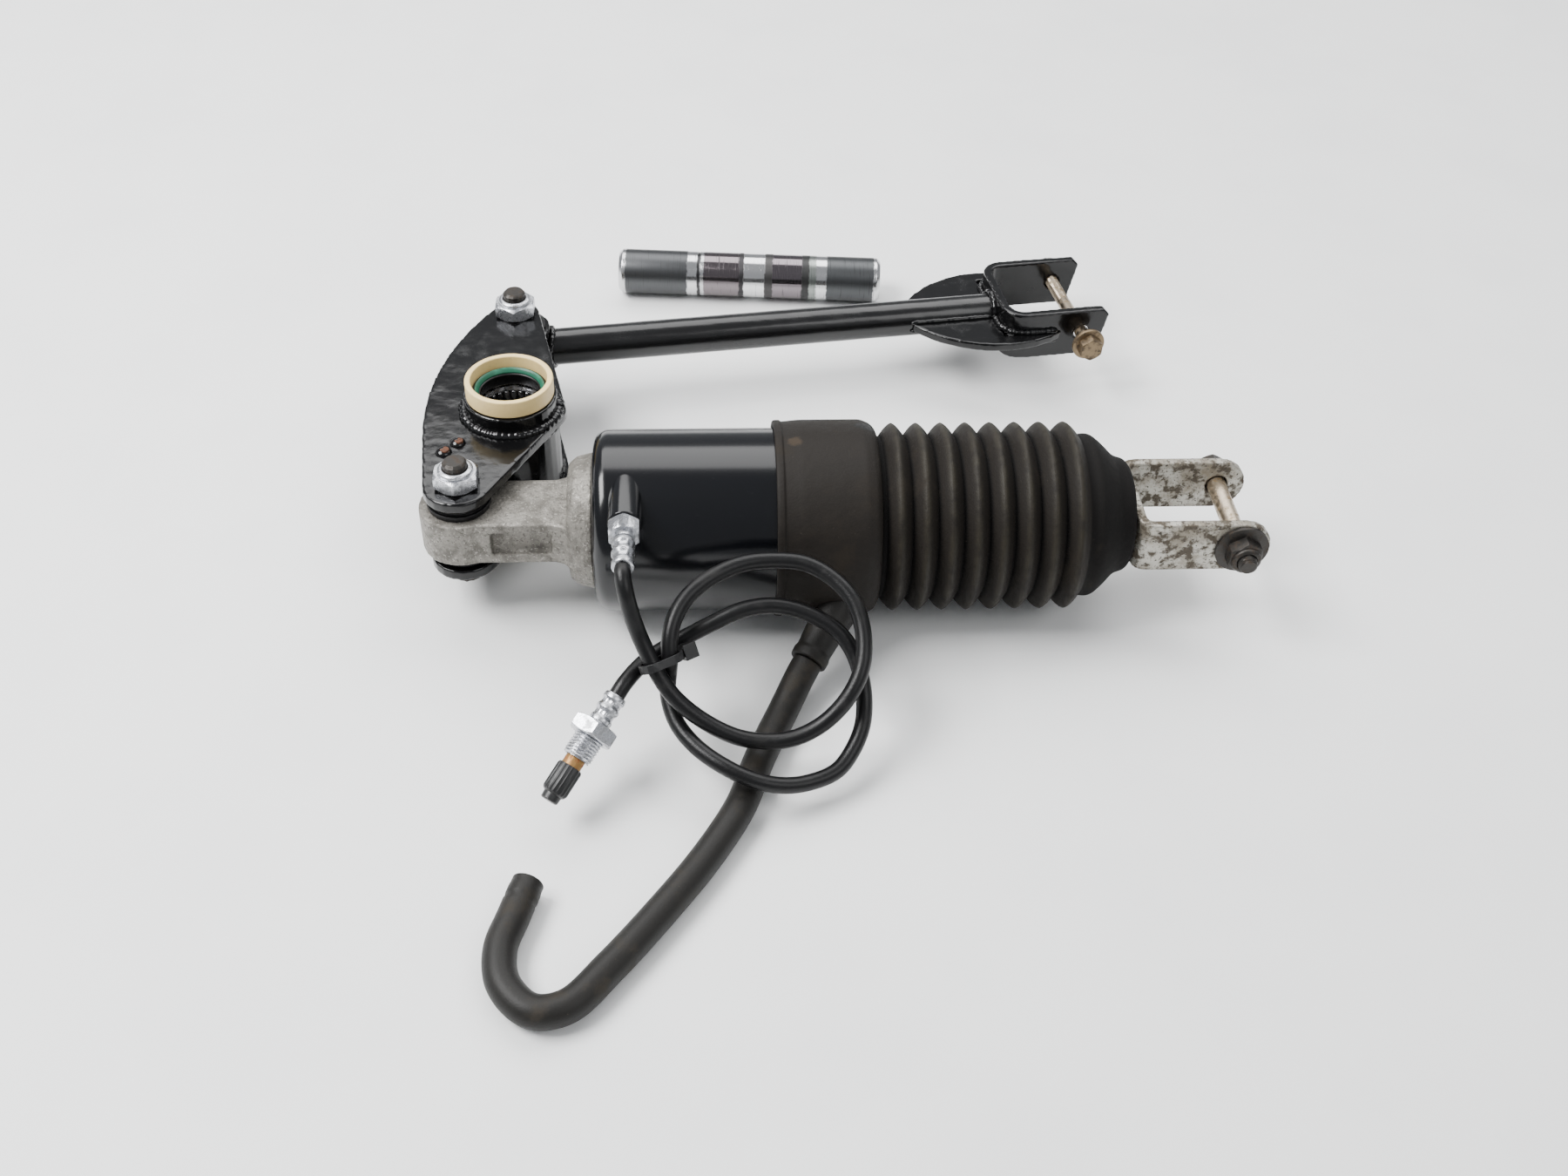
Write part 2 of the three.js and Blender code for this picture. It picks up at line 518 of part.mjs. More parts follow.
function valveEnd() {
  const group = new THREE.Group();
  group.position.set(...AIR_HOSE_ROUTE.at(-1));
  group.quaternion.setFromUnitVectors(new THREE.Vector3(0, 0, 1),
    new THREE.Vector3(...VALVE.aim).normalize());
  const ferrule = turned([[0, GAP], [4.3, GAP], [4.5, 3], [3.6, 5], [4.6, 7.2], [3.7, 9.4],
    [4.4, 11], [4.2, 12.6], [0, 12.6]], 14);
  const adapter = cut(join(hexPrism(VALVE.hex, 12.9, 18.9), rod(VALVE.thread, 18.5, 28)),
    rod(3.2, 15, 30, 16));
  const stem = turned([[0, 15.4], [2.9, 15.4], [2.9, 28.2], [VALVE.stem, 28.4], [VALVE.stem, 43],
    [2.6, 43], [2.6, 34], [0, 34]], 14);
  const core = turned([[0, 34.3], [2.2, 34.3], [2.2, 40], [0.9, 40.4], [0.9, 42.6], [0, 42.6]], 10);
  const cap = turned([[0, 43.4], [VALVE.stem + GAP, 43.4], [VALVE.stem + GAP, 31.6],
    [VALVE.cap, 31.6], [VALVE.cap, 43], [3.6, 43.6], [3.4, 46.4], [0, 46.4]], 18);
  group.add(named('valve_ferrule', ferrule, LOOK.zinc), named('valve_adapter', adapter, LOOK.zinc),
    named('valve_stem', stem, LOOK.brass), named('valve_core', core, LOOK.brass),
    named('valve_cap', cap, LOOK.blackPlastic));
  return group;
}

// A nylon strap round two neighbouring strands of the hose, with its head on the right.
const TIE = { at: [-68.05, -80.05, 42.9], across: [0.867, 0.498, -0.028],
  strands: [0.3, -0.56, -0.77], apart: 3.52, reach: 4.4, width: 3.2, thick: 1.2 };
function cableTie() {
  const { at, across, strands, apart, reach, width, thick } = TIE;
  const outline = (r) => bandAround([...arc(-apart, 0, r, 0, 2 * Math.PI, 16),
    ...arc(apart, 0, r, 0, 2 * Math.PI, 16)]);
  const band = cut(plate(outline(reach + thick), -width / 2, width / 2),
    plate(outline(reach), -width, width));
  const headFrom = apart + reach + thick - 0.2;
  const head = block(headFrom, headFrom + 5.5, -2.6, 2.6, -3, 3);
  const alongX = new THREE.Vector3(...across).normalize();
  const alongY = new THREE.Vector3(...strands).cross(alongX).normalize();
  const alongZ = new THREE.Vector3().crossVectors(alongX, alongY);
  const frame = new THREE.Matrix4().makeBasis(alongX, alongY, alongZ).setPosition(...at);
  return join(band, head).applyMatrix4(frame);
}

function pivotPin() {
  const [left, right] = [new THREE.Vector3(...PIN.left, 0), new THREE.Vector3(...PIN.right, 0)];
  const length = left.distanceTo(right);
  const heading = Math.atan2(right.y - left.y, right.x - left.x);
  return named('pivot_pin', alongX(rod(PIN.r, 0, length, 28, 1.6)), LOOK.steel,
    { at: [left.x, left.y, PIN.r], turn: [0, 0, heading] });
}

// ---------------------------------------------------------------- assembly
const assembly = new THREE.Group();
assembly.position.z = AXIS_Z;
assembly.rotation.x = ROLL;
assembly.add(shockAbsorber(), airInlet(), relayArm(), connectingArm(),
  relayPivot('shock_pivot', RELAY.shockBolt, [LUG.thick / 2 + GAP, PLATE.inner - GAP]),
  relayPivot('arm_pivot', RELAY.armBolt, [ARM.eyeHalf + GAP, PLATE.inner - GAP]));

const object = new THREE.Group();
object.add(assembly, pivotPin(), named('drain_spigot', drainSpigot(), LOOK.rubber),
  named('drain_hose', sweptTube(DRAIN_ROUTE, DRAIN.r, 32, 10), LOOK.rubber),
  named('air_hose', sweptTube(AIR_HOSE_ROUTE, AIR_HOSE.r, 64, 8), LOOK.blackRubber),
  named('cable_tie', cableTie(), LOOK.blackPlastic),
  valveEnd());

// The origin is the middle of the base of everything but the free hoses.
const FREE_PIECES = ['air_hose', 'drain_hose', 'cable_tie', 'valve_ferrule', 'valve_adapter',
  'valve_stem', 'valve_core', 'valve_cap'];
object.updateMatrixWorld(true);
const box = new THREE.Box3();
object.traverse((mesh) => {
  if (mesh.isMesh && !FREE_PIECES.includes(mesh.name)) box.expandByObject(mesh, true);
});
const centre = box.getCenter(new THREE.Vector3());
object.position.set(-centre.x, -centre.y, -box.min.z);

const root = new THREE.Group();
root.add(object);
export default root;
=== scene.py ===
"""Motorcycle rear air shock absorber with its relay linkage, laid out on a pale bench."""

import json
import math

import bmesh
import bpy
from mathutils import Matrix, Vector


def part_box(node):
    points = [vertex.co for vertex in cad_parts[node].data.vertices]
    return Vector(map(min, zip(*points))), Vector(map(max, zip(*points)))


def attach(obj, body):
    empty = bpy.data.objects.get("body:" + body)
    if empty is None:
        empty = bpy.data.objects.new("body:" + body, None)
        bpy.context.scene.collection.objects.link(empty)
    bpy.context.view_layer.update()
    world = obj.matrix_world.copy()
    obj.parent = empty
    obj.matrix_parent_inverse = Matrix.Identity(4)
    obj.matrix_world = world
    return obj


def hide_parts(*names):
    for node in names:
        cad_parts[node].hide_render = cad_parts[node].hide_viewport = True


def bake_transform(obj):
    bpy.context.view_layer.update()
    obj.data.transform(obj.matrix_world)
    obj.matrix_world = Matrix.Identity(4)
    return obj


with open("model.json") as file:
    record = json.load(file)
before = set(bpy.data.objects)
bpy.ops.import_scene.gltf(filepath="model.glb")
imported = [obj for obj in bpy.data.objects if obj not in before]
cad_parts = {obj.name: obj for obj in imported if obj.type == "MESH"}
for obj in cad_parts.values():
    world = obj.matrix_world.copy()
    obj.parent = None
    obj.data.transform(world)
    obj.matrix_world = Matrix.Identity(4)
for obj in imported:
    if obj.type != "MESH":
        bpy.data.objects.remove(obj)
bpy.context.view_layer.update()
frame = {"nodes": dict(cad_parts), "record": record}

# ---------------------------------------------------------------- places
# Lengths are millimetres, in a frame whose X axis runs on the bench straight below the shock's axis.
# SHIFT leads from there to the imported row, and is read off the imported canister. LUG_X, BOSS_AT,
# ARM_AT and CLEVIS_X are counted from the shock's axis, which is rolled by ROLL about X.
MM = 0.001
AXIS_Z = 40.5
ROLL = math.radians(-4)
CANISTER_LEFT = -95.2
INLET_X = -81.8
LUG_X = -149.6
BOSS_AT = (-131.5, 50.5, 0)
ARM_AT = (-135.2, 125.4, 0)
ARM_TURN = math.radians(7.9)
ARM_LENGTH = 266.5
ARM_ROD_R = 8.5
YOKE_BACK = 228
YOKE_HALF = 25
CLEVIS_X = 168
CLEVIS_HALF = 22.4
PLATE_TOP = 20

CANISTER_LOW, CANISTER_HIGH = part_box("canister")
SHIFT = Vector((CANISTER_LOW.x / MM - CANISTER_LEFT, (CANISTER_LOW.y + CANISTER_HIGH.y) / 2 / MM,
                (CANISTER_LOW.z + CANISTER_HIGH.z) / 2 / MM - AXIS_Z))
BENCH = Matrix.Scale(MM, 4) @ Matrix.Translation(SHIFT)
BENCH[3][3] = 1
SHOCK = BENCH @ Matrix.Translation((0, 0, AXIS_Z)) @ Matrix.Rotation(ROLL, 4, "X")
ALONG_X = Matrix.Rotation(math.pi / 2, 4, "Y")
ALONG_Y = Matrix.Rotation(-math.pi / 2, 4, "X")
ALONG_MINUS_Y = Matrix.Rotation(math.pi / 2, 4, "X")
UPSIDE_DOWN = Matrix.Rotation(math.pi, 4, "X")
SHOCK_AXIS = SHOCK @ ALONG_X
BOSS = SHOCK @ Matrix.Translation(BOSS_AT)
ARM_PLACE = Matrix.Translation(ARM_AT) @ Matrix.Rotation(ARM_TURN, 4, "Z")
ARM = SHOCK @ ARM_PLACE


# ---------------------------------------------------------------- mesh helpers
def rounded(points, radius, steps=4, closed=True):
    """The same line with each corner turned into a small arc; an open line keeps its ends."""
    points = [Vector(p) for p in points]
    out = []
    for i, corner in enumerate(points):
        if not closed and i in (0, len(points) - 1):
            out.append(tuple(corner))
            continue
        before = points[i - 1] - corner
        after = points[(i + 1) % len(points)] - corner
        reach = min(radius, before.length * 0.45, after.length * 0.45)
        start = corner + before.normalized() * reach
        stop = corner + after.normalized() * reach
        for k in range(steps + 1):
            t = k / steps
            out.append(tuple(start * (1 - t) ** 2 + corner * 2 * t * (1 - t) + stop * t * t))
    return out


def quarter(centre_r, centre_height, radius, steps=10):
    """A quarter circle of (radius, height) points, from straight below its centre to beside it."""
    return [(centre_r + radius * math.sin(a), centre_height - radius * math.cos(a))
            for a in (math.pi / 2 * k / steps for k in range(steps + 1))]


def revolved(profile, segments=64, closed=True):
    """A form turned round Z. profile lists (radius, height), or is a function of the angle."""
    angles = [2 * math.pi * i / segments for i in range(segments)]
    rows = [profile(a) if callable(profile) else profile for a in angles]
    count = len(rows[0])
    verts = [(r * math.cos(a), r * math.sin(a), h) for a, row in zip(angles, rows) for r, h in row]
    faces = []
    for i in range(segments):
        here, there = i * count, (i + 1) % segments * count
        for j in range(count if closed else count - 1):
            k = (j + 1) % count
            faces.append((here + j, there + j, there + k, here + k))
    return verts, faces


def tube(path, radius, sides=16):
    """A capped round tube along a path. radius is a number or a function of the way along."""
    path = [Vector(p) for p in path]
    last = len(path) - 1
    side = (path[1] - path[0]).normalized().orthogonal().normalized()
    verts, faces = [], []
    for i, point in enumerate(path):
        ahead = (path[min(i + 1, last)] - path[max(i - 1, 0)]).normalized()
        side = (side - ahead * side.dot(ahead)).normalized()
        up = ahead.cross(side)
        r = radius(i / last) if callable(radius) else radius
        for k in range(sides):
            a = 2 * math.pi * k / sides
            verts.append(tuple(point + side * (r * math.cos(a)) + up * (r * math.sin(a))))
    for i in range(last):
        for k in range(sides):
            n = (k + 1) % sides
            faces.append((i * sides + k, i * sides + n, (i + 1) * sides + n, (i + 1) * sides + k))
    faces.append(tuple(range(sides)))
    faces.append(tuple(last * sides + k for k in range(sides)))
    return verts, faces


def smooth_path(points, per_span=6):
    """Points on the centripetal Catmull-Rom curve through the given points."""
    points = [Vector(p) for p in points]
    before_first, after_last = points[0] * 2 - points[1], points[-1] * 2 - points[-2]
    line = [before_first, *points, after_last]
    out = []
    for i in range(1, len(line) - 2):
        p0, p1, p2, p3 = line[i - 1:i + 3]
        d0, d1, d2 = (math.sqrt((b - a).length) for a, b in ((p0, p1), (p1, p2), (p2, p3)))
        t1 = ((p1 - p0) / d0 - (p2 - p0) / (d0 + d1) + (p2 - p1) / d1) * d1
        t2 = ((p2 - p1) / d1 - (p3 - p1) / (d1 + d2) + (p3 - p2) / d2) * d1
        for k in range(per_span):
            t = k / per_span
            out.append(p1 + t1 * t + (3 * (p2 - p1) - 2 * t1 - t2) * t ** 2
                       + (2 * (p1 - p2) + t1 + t2) * t ** 3)
    return [tuple(p) for p in out] + [tuple(points[-1])]


def merged(*shapes):
    """Several (verts, faces) as one; a shape may come with a matrix as a third value."""
    verts, faces = [], []
    for shape in shapes:
        place = shape[2] if len(shape) > 2 else Matrix.Identity(4)
        base = len(verts)
        verts += [tuple(place @ Vector(v)) for v in shape[0]]
        faces += [tuple(base + i for i in face) for face in shape[1]]
    return verts, faces


def turn_to(direction):
    """The rotation that takes +Z to the direction."""
    return Vector((0, 0, 1)).rotation_difference(direction).to_matrix().to_4x4()


def piece(name, shape, place, look, body, replaces=(), sharp=38):
    """Edges that turn by more than the angle sharp, in degrees, stay sharp.
    """
    mesh = bpy.data.meshes.new(name)
    mesh.from_pydata([place @ Vector(v) for v in shape[0]], [], shape[1])
    solid = bmesh.new()
    solid.from_mesh(mesh)
    bmesh.ops.remove_doubles(solid, verts=solid.verts, dist=0.002 * MM)
    bmesh.ops.recalc_face_normals(solid, faces=solid.faces)
    solid.to_mesh(mesh)
    solid.free()
    mesh.shade_smooth()
    mesh.set_sharp_from_angle(angle=math.radians(sharp))
    mesh.materials.append(look)
    obj = bpy.data.objects.new(name, mesh)
    bpy.context.scene.collection.objects.link(obj)
    if body:
        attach(obj, body)
    if replaces:
        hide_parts(*replaces)
    return obj


def hexagon(flats, low, high, bore=0.0):
    """A hexagon nut or head between two heights, with turned corners, solid or bored."""
    def row(angle):
        from_flat = (angle + math.pi / 6) % (math.pi / 3) - math.pi / 6
        r = flats / 2 / math.cos(from_flat)
        drop = (r - flats / 2) * 0.6
        face = flats / 2 * 0.97
        return [(bore, low), (face, low), (r, low + drop + 0.1), (r, high - drop - 0.3),
                (face, high), (bore, high)]
    return revolved(row, 72)


def thread(radius, pitch, low, high, depth=0.6):
    """A threaded end with a true helix and a chamfered tip."""
    rows_per_turn = 6
    rows = round((high - low) / pitch * rows_per_turn)

    def row(angle):
        line = [(0, low)]
        for k in range(rows + 1):
            h = low + (high - low) * k / rows
            wave = abs(((h / pitch - angle / 2 / math.pi) % 1) * 2 - 1)
            chamfer = 1 - min(1, (high - h) / pitch)
            line.append((radius - depth * wave - chamfer * depth, h))
        return line + [(0, high)]
    return revolved(row, 40)


# ---------------------------------------------------------------- materials
class Look:
    """A procedural material in layers on one Principled shader. Sizes are millimetres."""

    def __init__(self, name, colour, rough, metal=0.0, coat=0.0, specular=0.5):
        self.made = bpy.data.materials.new(name)
        self.made.use_nodes = True
        self.nodes = self.made.node_tree.nodes
        self.links = self.made.node_tree.links
        self.shader = self.nodes["Principled BSDF"]
        self.shader.inputs["Base Color"].default_value = (*colour, 1)
        self.shader.inputs["Roughness"].default_value = rough
        self.shader.inputs["Metallic"].default_value = metal
        self.shader.inputs["Coat Weight"].default_value = coat
        self.shader.inputs["Coat Roughness"].default_value = 0.05
        self.shader.inputs["Specular IOR Level"].default_value = specular
        self.normal = None
        place = self.nodes.new("ShaderNodeTexCoord")
        scale = self.nodes.new("ShaderNodeVectorMath")
        scale.operation = "SCALE"
        scale.inputs["Scale"].default_value = 1 / MM
        self.links.new(place.outputs["Object"], scale.inputs[0])
        self.place = scale.outputs[0]

    def math(self, operation, a, b):
        """A Math node on a socket and a socket or number."""
        node = self.nodes.new("ShaderNodeMath")
        node.operation = operation
        for socket, value in zip(node.inputs, (a, b)):
            if isinstance(value, bpy.types.NodeSocket):
                self.links.new(value, socket)
            else:
                socket.default_value = value
        return node.outputs[0]

    def vector(self, operation, a, b, output=0):
        """A Vector Math node on a socket and a fixed vector."""
        node = self.nodes.new("ShaderNodeVectorMath")
        node.operation = operation
        self.links.new(a, node.inputs[0])
        node.inputs[1].default_value = b
        return node.outputs[output]

    def noise(self, size, detail=4.0, stretch=(1, 1, 1)):
        """Noise from 0 to 1 with features of the given size, longer along the stretched axes."""
        squeezed = self.vector("DIVIDE", self.place, [size * s for s in stretch])
        node = self.nodes.new("ShaderNodeTexNoise")
        node.inputs["Scale"].default_value = 1
        node.inputs["Detail"].default_value = detail
        node.inputs["Roughness"].default_value = 0.62
        self.links.new(squeezed, node.inputs["Vector"])
        return node.outputs["Fac"]

    def mask(self, value, low, high):
        """0 where the value is at low, 1 where it is at high, with a soft step between."""
        node = self.nodes.new("ShaderNodeMapRange")
        node.interpolation_type = "SMOOTHSTEP"
        node.inputs["From Min"].default_value = low
        node.inputs["From Max"].default_value = high
        self.links.new(value, node.inputs["Value"])
        return node.outputs["Result"]

    def near(self, point, radius):
        """1 at a point of the row frame, given in millimetres, 0 past a ragged edge round it."""
        away = self.vector("DISTANCE", self.place, point, "Value")
        ragged = self.math("ADD", away, self.math("MULTIPLY", self.noise(radius / 2), radius * 0.7))
        return self.mask(ragged, radius * 1.25, radius * 0.8)

    def from_line(self, point, direction):
        """Distance in millimetres from a line of the row frame."""
        cross = self.vector("CROSS_PRODUCT", self.vector("SUBTRACT", self.place, point), direction)
        return self.vector("DISTANCE", cross, (0, 0, 0), "Value")

    def along(self, point, direction):
        """Distance in millimetres along a line of the row frame."""
        return self.vector("DOT_PRODUCT", self.vector("SUBTRACT", self.place, point), direction, "Value")

    def layer(self, socket_name, mask, value):
        """Blends a value or colour over what the shader's socket has, where the mask is 1."""
        socket = self.shader.inputs[socket_name]
        mix = self.nodes.new("ShaderNodeMix")
        colour = isinstance(value, tuple)
        mix.data_type = "RGBA" if colour else "FLOAT"
        # A Mix node has sockets of its own for each data type.
        a, b, result = (6, 7, 2) if colour else (2, 3, 0)
        self.links.new(mask, mix.inputs[0])
        if socket.is_linked:
            self.links.new(socket.links[0].from_socket, mix.inputs[a])
        else:
            mix.inputs[a].default_value = socket.default_value
        mix.inputs[b].default_value = (*value, 1) if colour else value
        self.links.new(mix.outputs[result], socket)

    def paint(self, mask, colour=None, rough=None, metal=None):
        """One more layer of the surface, where the mask is 1."""
        for name, value in (("Base Color", colour), ("Roughness", rough), ("Metallic", metal)):
            if value is not None:
                self.layer(name, mask, value)

    def bump(self, height, depth):
        """Relief over what is there already, depth in millimetres; returns the look."""
        node = self.nodes.new("ShaderNodeBump")
        node.inputs["Strength"].default_value = 1
        node.inputs["Distance"].default_value = depth * MM
        self.links.new(height, node.inputs["Height"])
        if self.normal:
            self.links.new(self.normal, node.inputs["Normal"])
        self.normal = node.outputs["Normal"]
        self.links.new(self.normal, self.shader.inputs["Normal"])
        return self


def canister_look():
    look = Look("gloss_black", (0.0022, 0.0025, 0.0035), 0.19, coat=0.06, specular=0.4)
    look.paint(look.mask(look.noise(14, 6, (3, 1, 1)), 0.55, 0.75), rough=0.2)
    look.paint(look.mask(look.noise(0.9, 3), 0.72, 0.78), (0.05, 0.05, 0.05), 0.5)
    return look.bump(look.noise(60, 1), 0.25).made


def casting_look():
    look = Look("cast_aluminium", (0.215, 0.203, 0.18), 0.5, 0.5)
    look.paint(look.mask(look.noise(7, 6), 0.42, 0.66), (0.12, 0.112, 0.098), 0.62)
    look.paint(look.mask(look.noise(1.3, 3), 0.54, 0.64), (0.125, 0.118, 0.104), 0.65)
    look.paint(look.mask(look.noise(1.2, 2), 0.40, 0.33), (0.31, 0.295, 0.265), 0.42)
    look.bump(look.noise(1.7, 4), 0.55)
    return look.bump(look.noise(4, 3), 0.4).made


def boot_look(name, stained):
    """The boot's rubber: stained on the sleeve; on the bellows, painted sheen on the crests and painted
    shade in the valleys.
    """
    look = Look(name, (0.0105, 0.0086, 0.0070), 0.62, specular=0.16)
    if stained:
        look.paint(look.near(SHIFT + Vector((-15, 2, 81)), 4), (0.036, 0.027, 0.019), 0.8)
        look.paint(look.near(SHIFT + Vector((14, 14, 77)), 6), (0.004, 0.004, 0.004), 0.45)
        look.paint(look.mask(look.noise(30, 6, (1, 0.6, 1)), 0.48, 0.76), (0.018, 0.0145, 0.0112), 0.8)
    else:
        radius = look.from_line(SHIFT + Vector((0, 0, AXIS_Z)), (1, 0, 0))
        # Painted sheen: the crests, the outermost ring of each fold, are lightened in patches to stand
        # for their highlight.
        crest = look.math("MULTIPLY", look.mask(radius, 36.8, 38.6),
                          look.mask(look.noise(9, 6), 0.3, 0.6))
        look.paint(crest, (0.020, 0.0172, 0.0122), 0.5)
        # Painted shade: the valleys between the folds are darkened and made rougher.
        look.paint(look.mask(radius, 35.4, 33.4), (0.0045, 0.004, 0.0038), 0.85)
    look.paint(look.mask(look.noise(18, 8, (1, 1, 2)), 0.55, 0.78), (0.019, 0.0148, 0.0108), 0.8)
    look.paint(look.mask(look.noise(0.9, 3), 0.72, 0.77), (0.075, 0.063, 0.048), 0.8)
    look.bump(look.noise(0.6, 4), 0.12)
    return look.bump(look.noise(6, 3), 0.25).made


def hose_look(name, base, rough, dust):
    look = Look(name, base, rough, specular=0.26)
    look.paint(look.mask(look.noise(12, 8), 0.50, 0.78), dust, min(0.9, rough + 0.25))
    look.paint(look.mask(look.noise(0.8, 3), 0.70, 0.76), tuple(2.2 * c for c in dust), 0.8)
    return look.bump(look.noise(0.7, 4), 0.10).made


def rod_look():
    look = Look("smooth_black_paint", (0.0035, 0.0035, 0.0038), 0.24, coat=0.2, specular=0.42)
    look.paint(look.mask(look.noise(9, 6, (4, 1, 1)), 0.5, 0.75), rough=0.36)
    look.paint(look.mask(look.noise(0.9, 4), 0.74, 0.80), (0.05, 0.045, 0.04), 0.6)
    return look.bump(look.noise(7, 2, (3, 1, 1)), 0.25).made


def linkage_look():
    look = Look("lumpy_black_paint", (0.0032, 0.0032, 0.0035), 0.16, coat=0.1, specular=0.34)
    look.paint(look.mask(look.noise(10, 6), 0.5, 0.75), rough=0.34)
    look.paint(look.mask(look.noise(1.1, 4), 0.74, 0.80), (0.05, 0.045, 0.04), 0.6)
    look.bump(look.noise(3.4, 2), 0.05)
    return look.bump(look.noise(11, 1), 0.2).made


def zinc_look():
    look = Look("bright_zinc", (0.56, 0.57, 0.60), 0.27, 1.0)
    look.paint(look.mask(look.noise(3.2, 6), 0.48, 0.66), (0.33, 0.335, 0.345), 0.45)
    look.paint(look.mask(look.noise(1.3, 5), 0.62, 0.72), (0.12, 0.11, 0.10), 0.65)
    return look.bump(look.noise(1.1, 4), 0.12).made


def galvanised_look():
    look = Look("galvanised_steel", (0.43, 0.415, 0.37), 0.40, 0.75)
    look.paint(look.mask(look.noise(14, 5), 0.42, 0.66), (0.24, 0.215, 0.17), 0.55)
    look.paint(look.mask(look.noise(4.2, 10), 0.47, 0.60), (0.075, 0.060, 0.042), 0.75, 0.2)
    look.paint(look.mask(look.noise(1.1, 5), 0.56, 0.66), (0.035, 0.028, 0.022), 0.85, 0.0)
    return look.bump(look.noise(1.6, 6), 0.22).made


def stained_metal(name, base, stain, rough, metal=1.0, size=3.0):
    look = Look(name, base, rough, metal)
    look.paint(look.mask(look.noise(size, 7), 0.47, 0.66), stain, min(0.85, rough + 0.25), metal * 0.5)
    look.paint(look.mask(look.noise(0.7, 4), 0.66, 0.74), tuple(c * 0.4 for c in stain), 0.8, 0.0)
    return look.bump(look.noise(1.0, 5), 0.14).made


def ring_look():
    look = Look("tan_plastic", (0.82, 0.62, 0.28), 0.42)
    look.paint(look.mask(look.noise(8, 6), 0.5, 0.75), (0.70, 0.51, 0.24), 0.5)
    look.paint(look.mask(look.noise(1.0, 5, (6, 1, 1)), 0.66, 0.74), (0.42, 0.33, 0.20), 0.6)
    look.paint(look.mask(look.noise(0.7, 3), 0.33, 0.28), (0.92, 0.83, 0.63), 0.5)
    return look.bump(look.noise(1.4, 4), 0.06).made


def plain_look(name, base, rough):
    look = Look(name, base, rough)
    lighter = tuple(min(1, c * 1.8 + 0.004) for c in base)
    look.paint(look.mask(look.noise(5, 6), 0.48, 0.74), lighter, min(0.9, rough + 0.15))
    return look.bump(look.noise(0.8, 4), 0.06).made


PIN_LEFT = Vector((-91.3, 217.4, 11.2))
PIN_RIGHT = Vector((42.3, 208.1, 11.2))
# Wear bands along the pin: where each begins, as a part of the length, then colour and roughness.
PIN_BANDS = [
    (0.0, (0.62, 0.62, 0.63), 0.22), (0.025, (0.085, 0.087, 0.09), 0.38),
    (0.262, (0.70, 0.70, 0.71), 0.16), (0.30, (0.06, 0.06, 0.062), 0.3),
    (0.312, (0.60, 0.60, 0.61), 0.2), (0.325, (0.19, 0.165, 0.175), 0.14),
    (0.46, (0.05, 0.048, 0.05), 0.45), (0.478, (0.72, 0.72, 0.73), 0.15),
    (0.558, (0.07, 0.068, 0.068), 0.45), (0.588, (0.20, 0.175, 0.19), 0.13),
    (0.70, (0.05, 0.05, 0.05), 0.45), (0.728, (0.27, 0.29, 0.275), 0.3),
    (0.755, (0.68, 0.68, 0.69), 0.17), (0.795, (0.08, 0.083, 0.086), 0.4),
    (0.975, (0.66, 0.66, 0.67), 0.2),
]


def pin_look():
    look = Look("worn_pin_steel", PIN_BANDS[0][1], PIN_BANDS[0][2], 1.0)
    heading = PIN_RIGHT - PIN_LEFT
    smear = look.math("MULTIPLY", look.math("SUBTRACT", look.noise(2.2, 5), 0.5), 2.4)
    way = look.math("ADD", look.along(SHIFT + PIN_LEFT, heading.normalized()), smear)
    blur = 0.35
    for start, colour, rough in PIN_BANDS[1:]:
        edge = start * heading.length
        look.paint(look.mask(way, edge - blur, edge + blur), colour, rough)
    rings = look.noise(0.5, 5, (0.7, 30, 30))
    look.paint(look.mask(rings, 0.58, 0.70), (0.03, 0.03, 0.032), 0.5)
    return look.bump(rings, 0.04).made


LOOKS = {
    "canister_gloss": canister_look(),
    "cast_aluminium": casting_look(),
    "boot_rubber": boot_look("boot_sleeve_rubber", True),
    "bellows": boot_look("boot_bellows_rubber", False),
    "drain": hose_look("drain_rubber", (0.0085, 0.0078, 0.0068), 0.5, (0.026, 0.021, 0.015)),
    "black_rubber": hose_look("black_rubber", (0.0045, 0.0045, 0.0048), 0.33, (0.012, 0.0115, 0.011)),
    "linkage_paint": linkage_look(),
    "rod_paint": rod_look(),
    "bright_zinc": zinc_look(),
    "galvanised_steel": galvanised_look(),
    "yellow_zinc": stained_metal("yellow_zinc", (0.56, 0.47, 0.36), (0.20, 0.14, 0.075), 0.28),
    "dark_steel": stained_metal("dark_steel", (0.040, 0.037, 0.034), (0.035, 0.024, 0.016), 0.40, 0.8),
    "bronze_head": stained_metal("corroded_head", (0.19, 0.14, 0.085), (0.06, 0.042, 0.025), 0.40, 0.9),
    "polished_steel": stained_metal("bearing_steel", (0.30, 0.30, 0.31), (0.08, 0.07, 0.06), 0.25),
    "tan_plastic": ring_look(),
    "green_lip": plain_look("green_seal_lip", (0.009, 0.10, 0.057), 0.42),
    "brass": stained_metal("tarnished_brass", (0.30, 0.17, 0.06), (0.30, 0.10, 0.03), 0.45, 0.8, 1.6),
    "black_plastic": plain_look("black_plastic", (0.006, 0.006, 0.0063), 0.38),
    "rust": stained_metal("rust", (0.10, 0.035, 0.015), (0.03, 0.012, 0.008), 0.7, 0.2, 1.2),
    "pin": pin_look(),
}


# ---------------------------------------------------------------- camera and cords
CAMERA_AT = Vector((-55.486, -481.238, 498.823))
CAMERA_RIGHT = Vector((0.99835, -0.04885, 0.03030)).normalized()
CAMERA_UP = Vector((0.01416, 0.71984, 0.69400))


